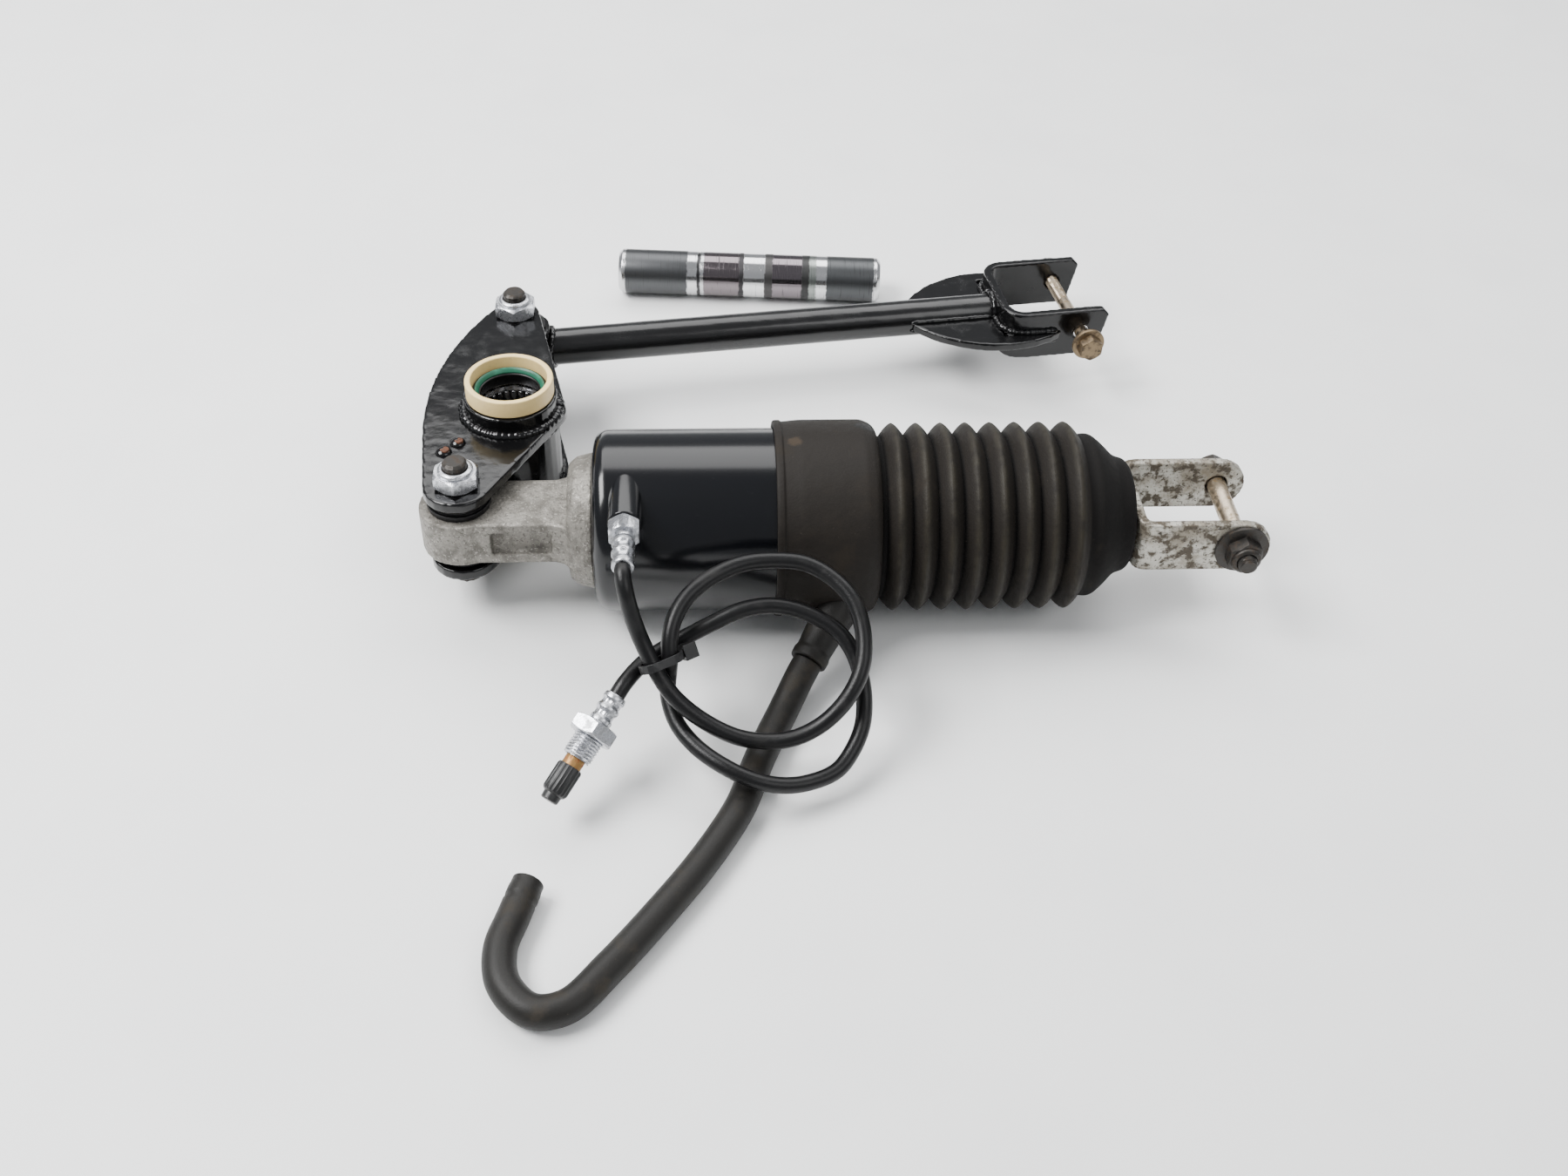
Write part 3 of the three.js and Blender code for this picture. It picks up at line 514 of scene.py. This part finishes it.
def make_camera():
    data = bpy.data.cameras.new("camera")
    data.lens = 37
    data.sensor_width = 36
    camera = bpy.data.objects.new("camera", data)
    up = (CAMERA_UP - CAMERA_RIGHT * CAMERA_UP.dot(CAMERA_RIGHT)).normalized()
    turn = Matrix((CAMERA_RIGHT, up, CAMERA_RIGHT.cross(up))).transposed().to_4x4()
    camera.matrix_world = Matrix.Translation((CAMERA_AT + SHIFT) * MM) @ turn
    bpy.context.scene.collection.objects.link(camera)
    bpy.context.scene.camera = camera


AIR_HOSE_R = 3.2
AIR_HOSE_ROUTE = [
    (-81.8, -59.9, 72.7), (-81.8, -62.9, 72.8), (-81, -67.5, 69.5), (-79, -71.5, 61),
    (-76.5, -74.5, 53), (-73.5, -78.5, 47), (-69, -84.5, 40), (-63, -90.5, 34), (-53, -95.5, 27),
    (-41, -99.5, 22), (-30.5, -100.5, 20), (-19.5, -100.5, 21), (-9, -97.5, 24.5), (0, -92.5, 31),
    (6, -85.5, 37.5), (8.5, -77.5, 43), (8, -67.5, 49), (4.5, -59, 54), (-2.5, -51.5, 57.5),
    (-12.5, -46, 60), (-24, -44.5, 60.5), (-36.5, -46, 60.5), (-48, -51, 59), (-57.5, -58.5, 56.5),
    (-63, -67, 53), (-65, -74, 48), (-65, -78.5, 42.5), (-65.5, -79.5, 35.5), (-66, -82.5, 29.5),
    (-65, -88, 26), (-62, -95, 23), (-55, -104, 21), (-45, -112, 19.5), (-34.5, -116.5, 17),
    (-24, -117, 14), (-13.5, -114.5, 12), (-2.5, -109.5, 12.5), (4, -102, 15.5), (8, -94, 20),
    (9, -86.5, 26), (8, -79, 31.5), (5, -71, 37), (-0.5, -64.5, 41.5), (-9, -60, 45),
    (-18.5, -57, 47), (-27.5, -56.5, 48), (-38, -58, 47), (-48.5, -61.5, 44), (-58.5, -65, 40.5),
    (-68, -69, 37.5), (-75, -75, 37), (-82, -84.4, 36.2), (-85, -88.5, 34),
]
DRAIN_R = 6.1
DRAIN_ROUTE = [
    (-10.8, -57.2, 14.8), (-13.6, -61.7, 12.8), (-20.8, -75, 7.6), (-31.2, -98, 6.2),
    (-39.3, -120.5, 6.2), (-52.7, -143.6, 6.2), (-68.5, -165.3, 6.2), (-86.4, -187.5, 6.2),
    (-100.6, -202.1, 6.2), (-112.3, -203.4, 6.2), (-122.3, -193.2, 6.2), (-124.5, -179.5, 6.2),
    (-120.6, -165.6, 6.2), (-116.5, -152.2, 6.2),
]


def make_air_hose(hanging):
    """The air hose. hanging, the pieces that hang on its free end or are tied round it, is not used."""
    path = smooth_path(AIR_HOSE_ROUTE)
    hose = piece("air_hose_skin", tube(path, AIR_HOSE_R, 20), BENCH, LOOKS["black_rubber"],
                 "shock_body", ["air_hose"])


def make_drain_hose():
    path = smooth_path(DRAIN_ROUTE, 12)
    groove_at, groove_half, lip_from = 0.955, 0.004, 0.985

    def radius(way):
        """The hose with a moulded groove near its end and a slightly smaller lip."""
        if way > lip_from:
            return DRAIN_R - 0.2
        return DRAIN_R - (0.35 if abs(way - groove_at) < groove_half else 0)
    end = Vector(path[-1])
    back = (Vector(path[-2]) - end).normalized()
    bore = 3.6
    # Painted shade: a near-black disc over the capped end of the hose, as wide as its bore, stands for
    # the dark inside of the open bore.
    mouth = revolved([(0, 0.4), (bore, 0.4), (bore, -0.05), (0, -0.05)], 32)
    hose = piece("drain_hose_skin", tube(path, radius, 32), BENCH, LOOKS["drain"], "shock_body",
                 ["drain_hose"])
    bore_shade_disc = piece("drain_hose_bore_shade", mouth, BENCH @ Matrix.Translation(end) @ turn_to(back),
                 LOOKS["black_plastic"], "shock_body")


# ---------------------------------------------------------------- air line fittings
VALVE_AIM = Vector((-0.54, -0.74, -0.4)).normalized()
VALVE = BENCH @ Matrix.Translation(AIR_HOSE_ROUTE[-1]) @ turn_to(VALVE_AIM)
INLET = SHOCK @ Matrix.Translation((INLET_X, 0, 28)) @ ALONG_MINUS_Y


def crimped(low, high):
    """A ferrule squeezed by eight jaws in two bands."""
    span = high - low
    squeezed_r = 3.7
    line = [(0, 0), (4.1, 0), (4.4, 0.06), (4.5, 0.16), (3.75, 0.24), (3.7, 0.34), (4.55, 0.44),
            (4.6, 0.52), (3.8, 0.62), (3.7, 0.74), (4.45, 0.84), (4.4, 0.95), (4.1, 1), (0, 1)]
    line = rounded(line, 0.05, 3, closed=False)

    def row(angle):
        jaw = 0.16 * math.cos(8 * angle)
        return [(r - jaw * max(0, 1 - abs(r - squeezed_r) / 0.5) if r else 0, low + span * h)
                for r, h in line]
    return revolved(row, 64, closed=False)


def make_inlet():
    """The socket on the canister with its domed root, then the hexagon fitting and the ferrule."""
    r, root, mouth = 6.5, 11.5, 37
    socket = quarter(0, root, r) + rounded([(r, root + 0.5), (r, mouth), (4.8, mouth), (0, mouth - 0.4)],
                                           0.7, 4, False)
    piece("inlet_socket_skin", revolved(socket, 64, False), INLET, LOOKS["canister_gloss"],
          "shock_body", ["air_inlet_socket"], sharp=50)
    neck = revolved([(0, 44), (4.2, 44), (4.2, 46.7), (0, 46.7)], 32)
    piece("inlet_fitting_skin", merged(hexagon(11.6, 37.3, 44.3), neck), INLET,
          LOOKS["bright_zinc"], "shock_body", ["inlet_fitting"])
    piece("inlet_ferrule_skin", crimped(46.9, 61.7), INLET, LOOKS["bright_zinc"], "shock_body",
          ["inlet_ferrule"])


def valve_cap_line(angle):
    """Half section of the ribbed cap with its narrower key end."""
    ribbed = 4.75 + 0.28 * max(0, math.cos(20 * angle))
    return [(4.15, 43), (4.15, 31.6), (4.6, 31.6), (ribbed, 32.4), (ribbed, 42), (4.5, 43), (3.6, 43.6),
            (3.45, 46), (3.0, 46.4), (0, 46.4), (0, 43.2)]


def make_valve():
    """The fittings on the hose's free end; returns the pieces that hang on the hose."""
    ferrule = piece("valve_ferrule_skin", crimped(0.3, 12.6), VALVE, LOOKS["bright_zinc"],
                    "shock_body", ["valve_ferrule"])
    collar = revolved([(0, 12.4), (5.2, 12.4), (5.6, 13), (0, 13)], 32)
    adapter = piece("valve_adapter_skin",
                    merged(collar, hexagon(17, 12.9, 18.9), thread(5.9, 1.25, 18.5, 28)), VALVE,
                    LOOKS["bright_zinc"], "shock_body", ["valve_adapter"], 30)
    stem_line = rounded([(0, 27), (3.9, 27.9), (3.9, 33), (3.6, 43), (2.6, 43), (0, 43)], 0.4, 3, False)
    stem = piece("valve_stem_skin", revolved(stem_line, 32, False), VALVE, LOOKS["brass"],
                 "shock_body", ["valve_stem", "valve_core"])
    cap = piece("valve_cap_skin", revolved(valve_cap_line, 160), VALVE, LOOKS["black_plastic"],
                "valve_cap", ["valve_cap"])
    return [ferrule, adapter, stem, cap, frame["nodes"]["cable_tie"]]


# ---------------------------------------------------------------- shock absorber
def make_canister():
    left, right, r, wall, shoulder = CANISTER_LEFT, 12, 37.2, 2.5, 6
    line = [(20, left), *quarter(r - shoulder, left + shoulder, shoulder), (r, right),
            (r - wall, right), (r - wall, left + shoulder), (20, left + wall)]
    piece("canister_skin", revolved(line, 160), SHOCK_AXIS, LOOKS["canister_gloss"], "shock_body",
          ["canister"], sharp=50)


def make_sleeve():
    """The boot's smooth sleeve over the canister, a little out of round as rubber is."""
    line = rounded([(37.6, -22.7), (40.1, -22.7), (40.4, -21.5), (40.4, -19.9), (39.7, -19.2),
                    (40.4, -12), (40.4, 13), (38.8, 17), (36.4, 19), (31.2, 19), (31.2, 16),
                    (37.6, 14)], 1.2, 4)

    def row(angle):
        sag = 0.16 * math.sin(3 * angle + 0.6) + 0.1 * math.sin(7 * angle)
        return [(r - abs(sag) if r > 38 else r, x) for r, x in line]
    piece("boot_sleeve_skin", revolved(row, 144), SHOCK_AXIS, LOOKS["boot_rubber"], "shock_body",
          ["boot_sleeve"], sharp=60)


def bellows_line():
    """Half section of the bellows: eight rounded folds, then the domed end."""
    first, pitch, folds, crest, valley, wall = 26.2, 10.22, 8, 38.7, 33.2, 2.2
    start, end, rod_hole, steps = 20.8, 124, 9, 14
    outer = [(valley, start - 1.4), (valley + 0.2, start)]
    for i in range(folds):
        for k in range(steps):
            x = first + i * pitch + pitch * (k / steps - 0.5)
            if start < x:
                down = abs(2 * k / steps - 1) ** 1.4
                outer.append((crest - (crest - valley) * down, x))
    last = first + (folds - 1) * pitch
    outer += rounded([(valley + 0.2, last + 5.2), (valley + 0.8, last + 10), (30.8, last + 14),
                      (24.8, last + 20), (23.4, end - 1.6), (21.5, end), (rod_hole, end)],
                     3.5, 5, False)
    inner = [(max(rod_hole, r - wall), x - (wall if x > end - 4 else 0)) for r, x in reversed(outer)]
    return outer + inner


def shorten_with_stroke(skin, start, end):
    """Bakes a piece's place into its mesh; start and end, two places along the shock from the body to
    the rod, are worked out but not used.
    """
    start, end = (tuple(SHOCK @ Vector((x, 0, 0))) for x in (start, end))
    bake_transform(skin)


def make_bellows():
    boot = piece("boot_bellows_skin", revolved(bellows_line(), 128), SHOCK_AXIS,
                 LOOKS["bellows"], None, ["boot_bellows"], sharp=70)
    shorten_with_stroke(boot, 20.5, 104)


def make_spring():
    turns, mean, wire, start, end = 6, 25.2, 3.2, 18.1, 100.3
    steps = 180
    path = [(mean * math.cos(a), mean * math.sin(a), start + (end - start) * k / steps)
            for k, a in ((k, 2 * math.pi * turns * k / steps) for k in range(steps + 1))]
    spring = piece("coil_spring_skin", tube(path, wire, 12), SHOCK_AXIS, LOOKS["dark_steel"], None,
                   ["coil_spring"])
    shorten_with_stroke(spring, 16, 103)


def make_spigot():
    start, end = Vector((4, -33, 25)), Vector((-10.6, -56.8, 15))
    span = (end - start).length
    place = BENCH @ Matrix.Translation(start) @ turn_to(end - start)
    line = rounded([(4.2, 0), (9.3, 0), (7.6, span - 12), (7.2, span - 5), (7.7, span - 3.6),
                    (7.6, span), (4.2, span)], 0.9, 4)
    piece("drain_spigot_skin", revolved(line, 48), place, LOOKS["drain"], "shock_body",
          ["drain_spigot"], sharp=60)


# ---------------------------------------------------------------- bolts and nuts
def flange(radius, low, high):
    return revolved(rounded([(0, low), (radius, low), (radius, high), (0, high)], 0.5, 3, False), 56)


def lock_nut(name, place, flats, height, collar, bolt_r, tip, look, body, rim=None):
    """A lock nut with its round collar, its foot or flange, and the bolt's threaded tip.

    look names both the material and the slot; the nut stands for the node of its own name.
    """
    bore, foot = bolt_r + 0.1, rim or flats / 2
    crown = rounded([(bore, height - 0.5), (collar, height - 0.5), (collar, height + 1.2),
                     (collar - 1.2, height + 1.8), (bore, height + 1.8)], 0.6, 4)
    shape = merged(hexagon(flats, 0.2, height, bore), revolved(crown, 56),
                   revolved([(bore, 0), (foot, 0), (foot, 1.4), (bore, 2.0)], 56))
    piece(f"{name}_skin", shape, place, LOOKS[look], body, [name], 30)
    piece(f"{name}_thread_tip", thread(bolt_r - 0.05, 1.25, height - 2, tip), place,
          LOOKS["dark_steel"], body, sharp=30)


def make_pivot_nuts():
    for prefix, at in (("shock_pivot", (LUG_X, 0)), ("arm_pivot", ARM_AT[:2])):
        place = SHOCK @ Matrix.Translation((*at, PLATE_TOP + 0.3))
        lock_nut(f"{prefix}_nut", place, 17, 6.2, 7.2, 5, 10.9, "bright_zinc", "relay_arm")


def make_clevis_bolt():
    front = SHOCK @ Matrix.Translation((CLEVIS_X, -CLEVIS_HALF - 0.3, 0)) @ ALONG_MINUS_Y
    lock_nut("clevis_nut", front, 13, 7.5, 6, 4, 12.4, "dark_steel", "rod_and_bracket", rim=11)
    rear = SHOCK @ Matrix.Translation((CLEVIS_X, CLEVIS_HALF + 0.3, 0)) @ ALONG_MINUS_Y
    head = merged(hexagon(13, -8.6, -1.2), flange(9.6, -1.8, 0))
    r, span = 4, 2 * CLEVIS_HALF + 1
    shank = revolved([(0, -1), (r, -1), (r, span), (0, span)], 40)
    piece("clevis_bolt_head", head, rear, LOOKS["dark_steel"], "rod_and_bracket",
          sharp=30)
    piece("clevis_bolt_shank", shank, rear, LOOKS["yellow_zinc"], "rod_and_bracket",
          ["clevis_bolt"])


def make_yoke_bolt():
    """The yoke's bolt, half drawn: its head and its nut both stand off the ears."""
    loose_head, loose_nut = 9, 4
    r, smooth, length = 3.1, 36, 71.5
    bolt = ARM @ Matrix.Translation((ARM_LENGTH, -YOKE_HALF - loose_head, 0)) @ ALONG_Y
    head = merged(hexagon(10, -7, -1.2), flange(7.8, -2, 0))
    piece("yoke_bolt_head", head, bolt, LOOKS["bronze_head"], "connecting_arm", ["yoke_bolt"],
          30)
    shank = revolved([(0, -1), (r, -1), (r, smooth), (r - 0.2, smooth + 1), (0, smooth + 1)], 40)
    piece("yoke_bolt_shank", merged(shank, thread(r, 1.0, smooth, length, 0.5)), bolt,
          LOOKS["yellow_zinc"], "connecting_arm", sharp=30)
    rear = ARM @ Matrix.Translation((ARM_LENGTH, YOKE_HALF + loose_nut, 0)) @ ALONG_Y
    lock_nut("yoke_nut", rear, 11, 6, 4.8, r, 8.6, "dark_steel", "connecting_arm", rim=8.5)


# ---------------------------------------------------------------- relay arm and bearings
def make_bearing_side(side, turn):
    place = BOSS @ turn
    ring = rounded([(15.9, 28.1), (18.4, 28.1), (18.4, 35.8), (15.9, 35.8)], 0.7, 5)
    piece(f"thrust_ring_{side}_skin", revolved(ring, 128), place, LOOKS["tan_plastic"], "relay_arm",
          [f"thrust_ring_{side}"])
    seal = rounded([(13, 23.6), (15.5, 23.6), (15.5, 30.8), (14.3, 30.8), (13.2, 29.4), (12.2, 29)],
                   0.4, 3)
    piece(f"boss_dust_seal_{side}_skin", revolved(seal, 96), place, LOOKS["black_rubber"],
          "relay_arm", [f"boss_dust_seal_{side}"])
    lip = rounded([(12.9, 29.2), (14.3, 30.4), (14.7, 31.2), (14.2, 31.5), (13.5, 30.9),
                   (12.8, 29.8)], 0.25, 3)
    piece(f"seal_lip_{side}", revolved(lip, 96), place, LOOKS["green_lip"], "relay_arm")
    piece(f"needle_rollers_{side}", needle_rollers(), place, LOOKS["polished_steel"], "relay_arm",
          [f"needle_cage_{side}"])


def needle_rollers():
    """The needles of one bearing and the two rims of their cage."""
    count, circle_r, needle_r, half, middle = 24, 11.95, 1.1, 7, 14.2
    needle = revolved(rounded([(0, -half), (needle_r, -half), (needle_r, half), (0, half)],
                              0.3, 3, False), 14)
    parts = []
    for k in range(count):
        a = 2 * math.pi * k / count
        at = Matrix.Translation((circle_r * math.cos(a), circle_r * math.sin(a), middle))
        parts.append((*needle, at))
    for h in (middle - half - 0.3, middle + half + 0.3):
        rim = [(11.3, h - 0.4), (12.6, h - 0.4), (12.6, h + 0.4), (11.3, h + 0.4)]
        parts.append(revolved(rounded(rim, 0.2, 2), 64))
    return merged(*parts)


def bead(path, radius, name, body, closed=False):
    """A rippled weld bead, painted with the linkage."""
    path = [Vector(p) for p in path]
    if closed:
        path.append(path[0].copy())
    length = sum((b - a).length for a, b in zip(path, path[1:]))
    ripples = length / 2.6

    def thick(way):
        end = 1 if closed else min(1, 12 * way + 0.35, 12 * (1 - way) + 0.35)
        swell = 0.13 * math.sin(2 * math.pi * ripples * way) + 0.09 * math.sin(ripples * way * 1.7)
        return radius * end * (1 + swell)
    piece(name, tube(path, thick, 14), SHOCK, LOOKS["linkage_paint"], body,
          sharp=80)


def circle(centre, radius, height, steps=150):
    angles = [2 * math.pi * k / steps for k in range(steps + 1)]
    return [(centre[0] + radius * math.cos(a), centre[1] + radius * math.sin(a), height)
            for a in angles]


def make_relay_welds():
    """The beads round the boss, and the two rusty nubs beside the shock's bolt."""
    for side, height in (("upper", PLATE_TOP), ("lower", -PLATE_TOP)):
        bead(circle(BOSS_AT, 19.9, height), 2.3, f"boss_weld_{side}", "relay_arm", closed=True)
        bead(circle(BOSS_AT, 19.7, height * 0.75), 1.4, f"boss_weld_{side}_inside", "relay_arm")
    for i, (x, y, r) in enumerate(((-151.8, 26.5, 3.4), (-157, 20.5, 3.6))):
        place = SHOCK @ Matrix.Translation((x, y, PLATE_TOP))
        line = [(0, -1), (r, -1), (r * 0.92, 0.8), (r * 0.45, 1.9), (0, 2.2)]
        lump = revolved(rounded(line, 0.9, 4, False), 32, False)
        piece(f"weld_nub_{i}", lump, place, LOOKS["linkage_paint"], "relay_arm")
        patch = revolved([(0, 0.2), (r * 0.6, 0.2), (r * 0.5, 1.95), (0, 2.3)], 24, False)
        piece(f"weld_nub_rust_{i}", patch, place @ Matrix.Translation((0.6, -0.4, 0)), LOOKS["rust"],
              "relay_arm")


# ---------------------------------------------------------------- connecting arm
def make_arm_rod():
    eye_r, into_yoke = 15.2, YOKE_BACK + 1
    line = [(0, eye_r), (ARM_ROD_R, eye_r), (ARM_ROD_R, into_yoke), (0, into_yoke)]
    piece("arm_rod_skin", revolved(line, 64, False), ARM @ ALONG_X, LOOKS["rod_paint"],
          "connecting_arm", ["arm_rod"])


def arm_bead(points, radius, name, closed=False):
    """A bead through points given from the arm's bolt, along the arm, across it and up."""
    bead([ARM_PLACE @ Vector(p) for p in points], radius, name, "connecting_arm", closed)


def make_arm_welds():
    """Beads round the rod's two ends, then along the gussets' backs, the rod and the ears."""
    r = ARM_ROD_R + 0.1
    around = [(r * math.cos(a), r * math.sin(a)) for a in (2 * math.pi * k / 80 for k in range(80))]
    arm_bead([(math.sqrt(15.4 ** 2 - y * y) + 0.6, y, z) for y, z in around], 1.4, "arm_eye_weld",
             closed=True)
    arm_bead([(YOKE_BACK, y * 1.04, z * 1.04) for y, z in around], 1.7, "arm_yoke_weld", closed=True)
    faces = (1, "upper", "a"), (-1, "lower", "b")
    for side, name in ((1, "rear"), (-1, "front")):
        for face, level, _ in faces:
            line = [(YOKE_BACK - 0.4 + 18 * max(0, t - 0.45) ** 2, side * (8.5 + 15 * t), face * 2.4)
                    for t in (k / 30 for k in range(31))]
            arm_bead(line, 1.5, f"gusset_back_weld_{name}_{level}")
    for side, letter in ((1, "a"), (-1, "b")):
        for face, _, face_letter in faces:
            line = [(186 + 41 * t, side * r, face * 2.3) for t in (k / 40 for k in range(41))]
            arm_bead(line, 1.25, f"gusset_rod_weld_{letter}_{face_letter}")
            line = [(230 + 24 * t, side * (25.4 - 9 * max(0, 0.35 - t) ** 1.2), face * 2.6)
                    for t in (k / 40 for k in range(41))]
            arm_bead(line, 1.35, f"gusset_ear_weld_{letter}_{face_letter}")


# ---------------------------------------------------------------- CAD nodes that stay
def add_modifier(obj, kind, **settings):
    modifier = obj.modifiers.new(kind.lower(), kind)
    for name, value in settings.items():
        setattr(modifier, name, value)


def soften(node, voxel, smooth, lumps=0.0):
    """Rounds the edges of a carried-over node as a casting or thick paint has them.

    voxel and the height of the lumps are millimetres; smooth is a number of passes.
    """
    obj = frame["nodes"][node]
    add_modifier(obj, "WELD", merge_threshold=1e-5)
    add_modifier(obj, "REMESH", mode="VOXEL", voxel_size=voxel * MM, use_smooth_shade=True)
    add_modifier(obj, "SMOOTH", factor=0.5, iterations=smooth)
    if lumps:
        texture = bpy.data.textures.new(f"{node}_lumps", "CLOUDS")
        texture.noise_scale = 0.009
        add_modifier(obj, "DISPLACE", strength=lumps * MM, mid_level=0.75, texture=texture,
                     texture_coords="GLOBAL")


def bevel(node, width):
    """Turns a small round, in millimetres, on the sharp edges of a carried-over node."""
    obj = frame["nodes"][node]
    add_modifier(obj, "WELD", merge_threshold=1e-5)
    add_modifier(obj, "BEVEL", width=width * MM, segments=3, limit_method="ANGLE",
                 angle_limit=math.radians(32), harden_normals=True)


def dress_nodes():
    """Gives every CAD node its material, and the ones that stay in sight their rounded edges."""
    for row in frame["record"]["subparts"]:
        obj = frame["nodes"][row["node"]]
        obj.data.materials.clear()
        obj.data.materials.append(LOOKS[row["material_slot"]])
    soften("end_casting", 0.7, 7)
    for node in ("relay_plate_upper", "relay_plate_lower"):
        soften(node, 0.7, 5, 0.2)
    for node in ("arm_yoke", "arm_gusset_rear", "arm_gusset_front", "arm_eye"):
        soften(node, 0.6, 3, 0.25)
    soften("relay_boss_tube", 0.6, 2)
    soften("u_bracket", 0.55, 2)
    for node in ("shock_pivot_collar_upper", "shock_pivot_collar_lower", "arm_pivot_collar_upper",
                 "arm_pivot_collar_lower", "cable_tie", "shock_pivot_bolt", "arm_pivot_bolt"):
        bevel(node, 0.3)


def make_pin():
    """The loose pin with its chamfered ends and one shallow groove."""
    heading = PIN_RIGHT - PIN_LEFT
    r, span = 11.2, heading.length
    end_r, chamfer, groove_r, groove = 9.6, 1.8, 10.8, 0.306 * span
    line = rounded([(0, 0), (end_r, 0), (r, chamfer), (r, groove - 0.7), (groove_r, groove - 0.5),
                    (groove_r, groove + 0.5), (r, groove + 0.7), (r, span - chamfer), (end_r, span),
                    (0, span)], 0.25, 3, False)
    place = BENCH @ Matrix.Translation(PIN_LEFT) @ turn_to(heading)
    piece("pivot_pin_skin", revolved(line, 128, False), place, LOOKS["pin"], "pivot_pin",
          ["pivot_pin"])


# ---------------------------------------------------------------- stage
# Area lights: name, place and size in metres, power in watts.
LAMPS = [
    ("key", (-0.85, -0.10, 1.15), (0.8, 0.6), 38),
    ("top", (0.15, 0.80, 1.25), (2.2, 1.0), 34),
    ("fill", (0.9, -0.9, 1.3), (0.9, 0.9), 9),
]
LAMPS_AIM = Vector((0, -0.05, 0.03))


def make_bench():
    mesh = bpy.data.meshes.new("bench")
    half, level = 3.0, -0.0003
    mesh.from_pydata([(-half, -half, level), (half, -half, level), (half, half, level),
                      (-half, half, level)], [], [(0, 1, 2, 3)])
    bench = bpy.data.objects.new("bench", mesh)
    look = Look("bench_white", (0.87, 0.875, 0.87), 0.5, specular=0.3)
    look.paint(look.mask(look.noise(90, 3), 0.4, 0.7), (0.84, 0.845, 0.845), 0.45)
    mesh.materials.append(look.made)
    bpy.context.scene.collection.objects.link(bench)


def make_lights():
    world = bpy.data.worlds.new("studio")
    world.use_nodes = True
    sky = world.node_tree.nodes["Background"]
    sky.inputs["Color"].default_value = (0.93, 0.96, 1.0, 1)
    sky.inputs["Strength"].default_value = 0.42
    bpy.context.scene.world = world
    for name, at, size, power in LAMPS:
        lamp = bpy.data.lights.new(name, "AREA")
        lamp.shape = "RECTANGLE"
        lamp.size, lamp.size_y = size
        lamp.energy = power
        light = bpy.data.objects.new(name, lamp)
        light.location = at
        light.rotation_mode = "QUATERNION"
        light.rotation_quaternion = (LAMPS_AIM - Vector(at)).to_track_quat("-Z", "Y")
        bpy.context.scene.collection.objects.link(light)


# ---------------------------------------------------------------- the whole
make_camera()
make_air_hose(make_valve())
make_drain_hose()
make_inlet()
make_canister()
make_sleeve()
make_bellows()
make_spring()
make_spigot()
make_pivot_nuts()
make_clevis_bolt()
make_yoke_bolt()
make_bearing_side("upper", Matrix.Identity(4))
make_bearing_side("lower", UPSIDE_DOWN)
make_relay_welds()
make_arm_rod()
make_arm_welds()
make_pin()
dress_nodes()
make_bench()
make_lights()
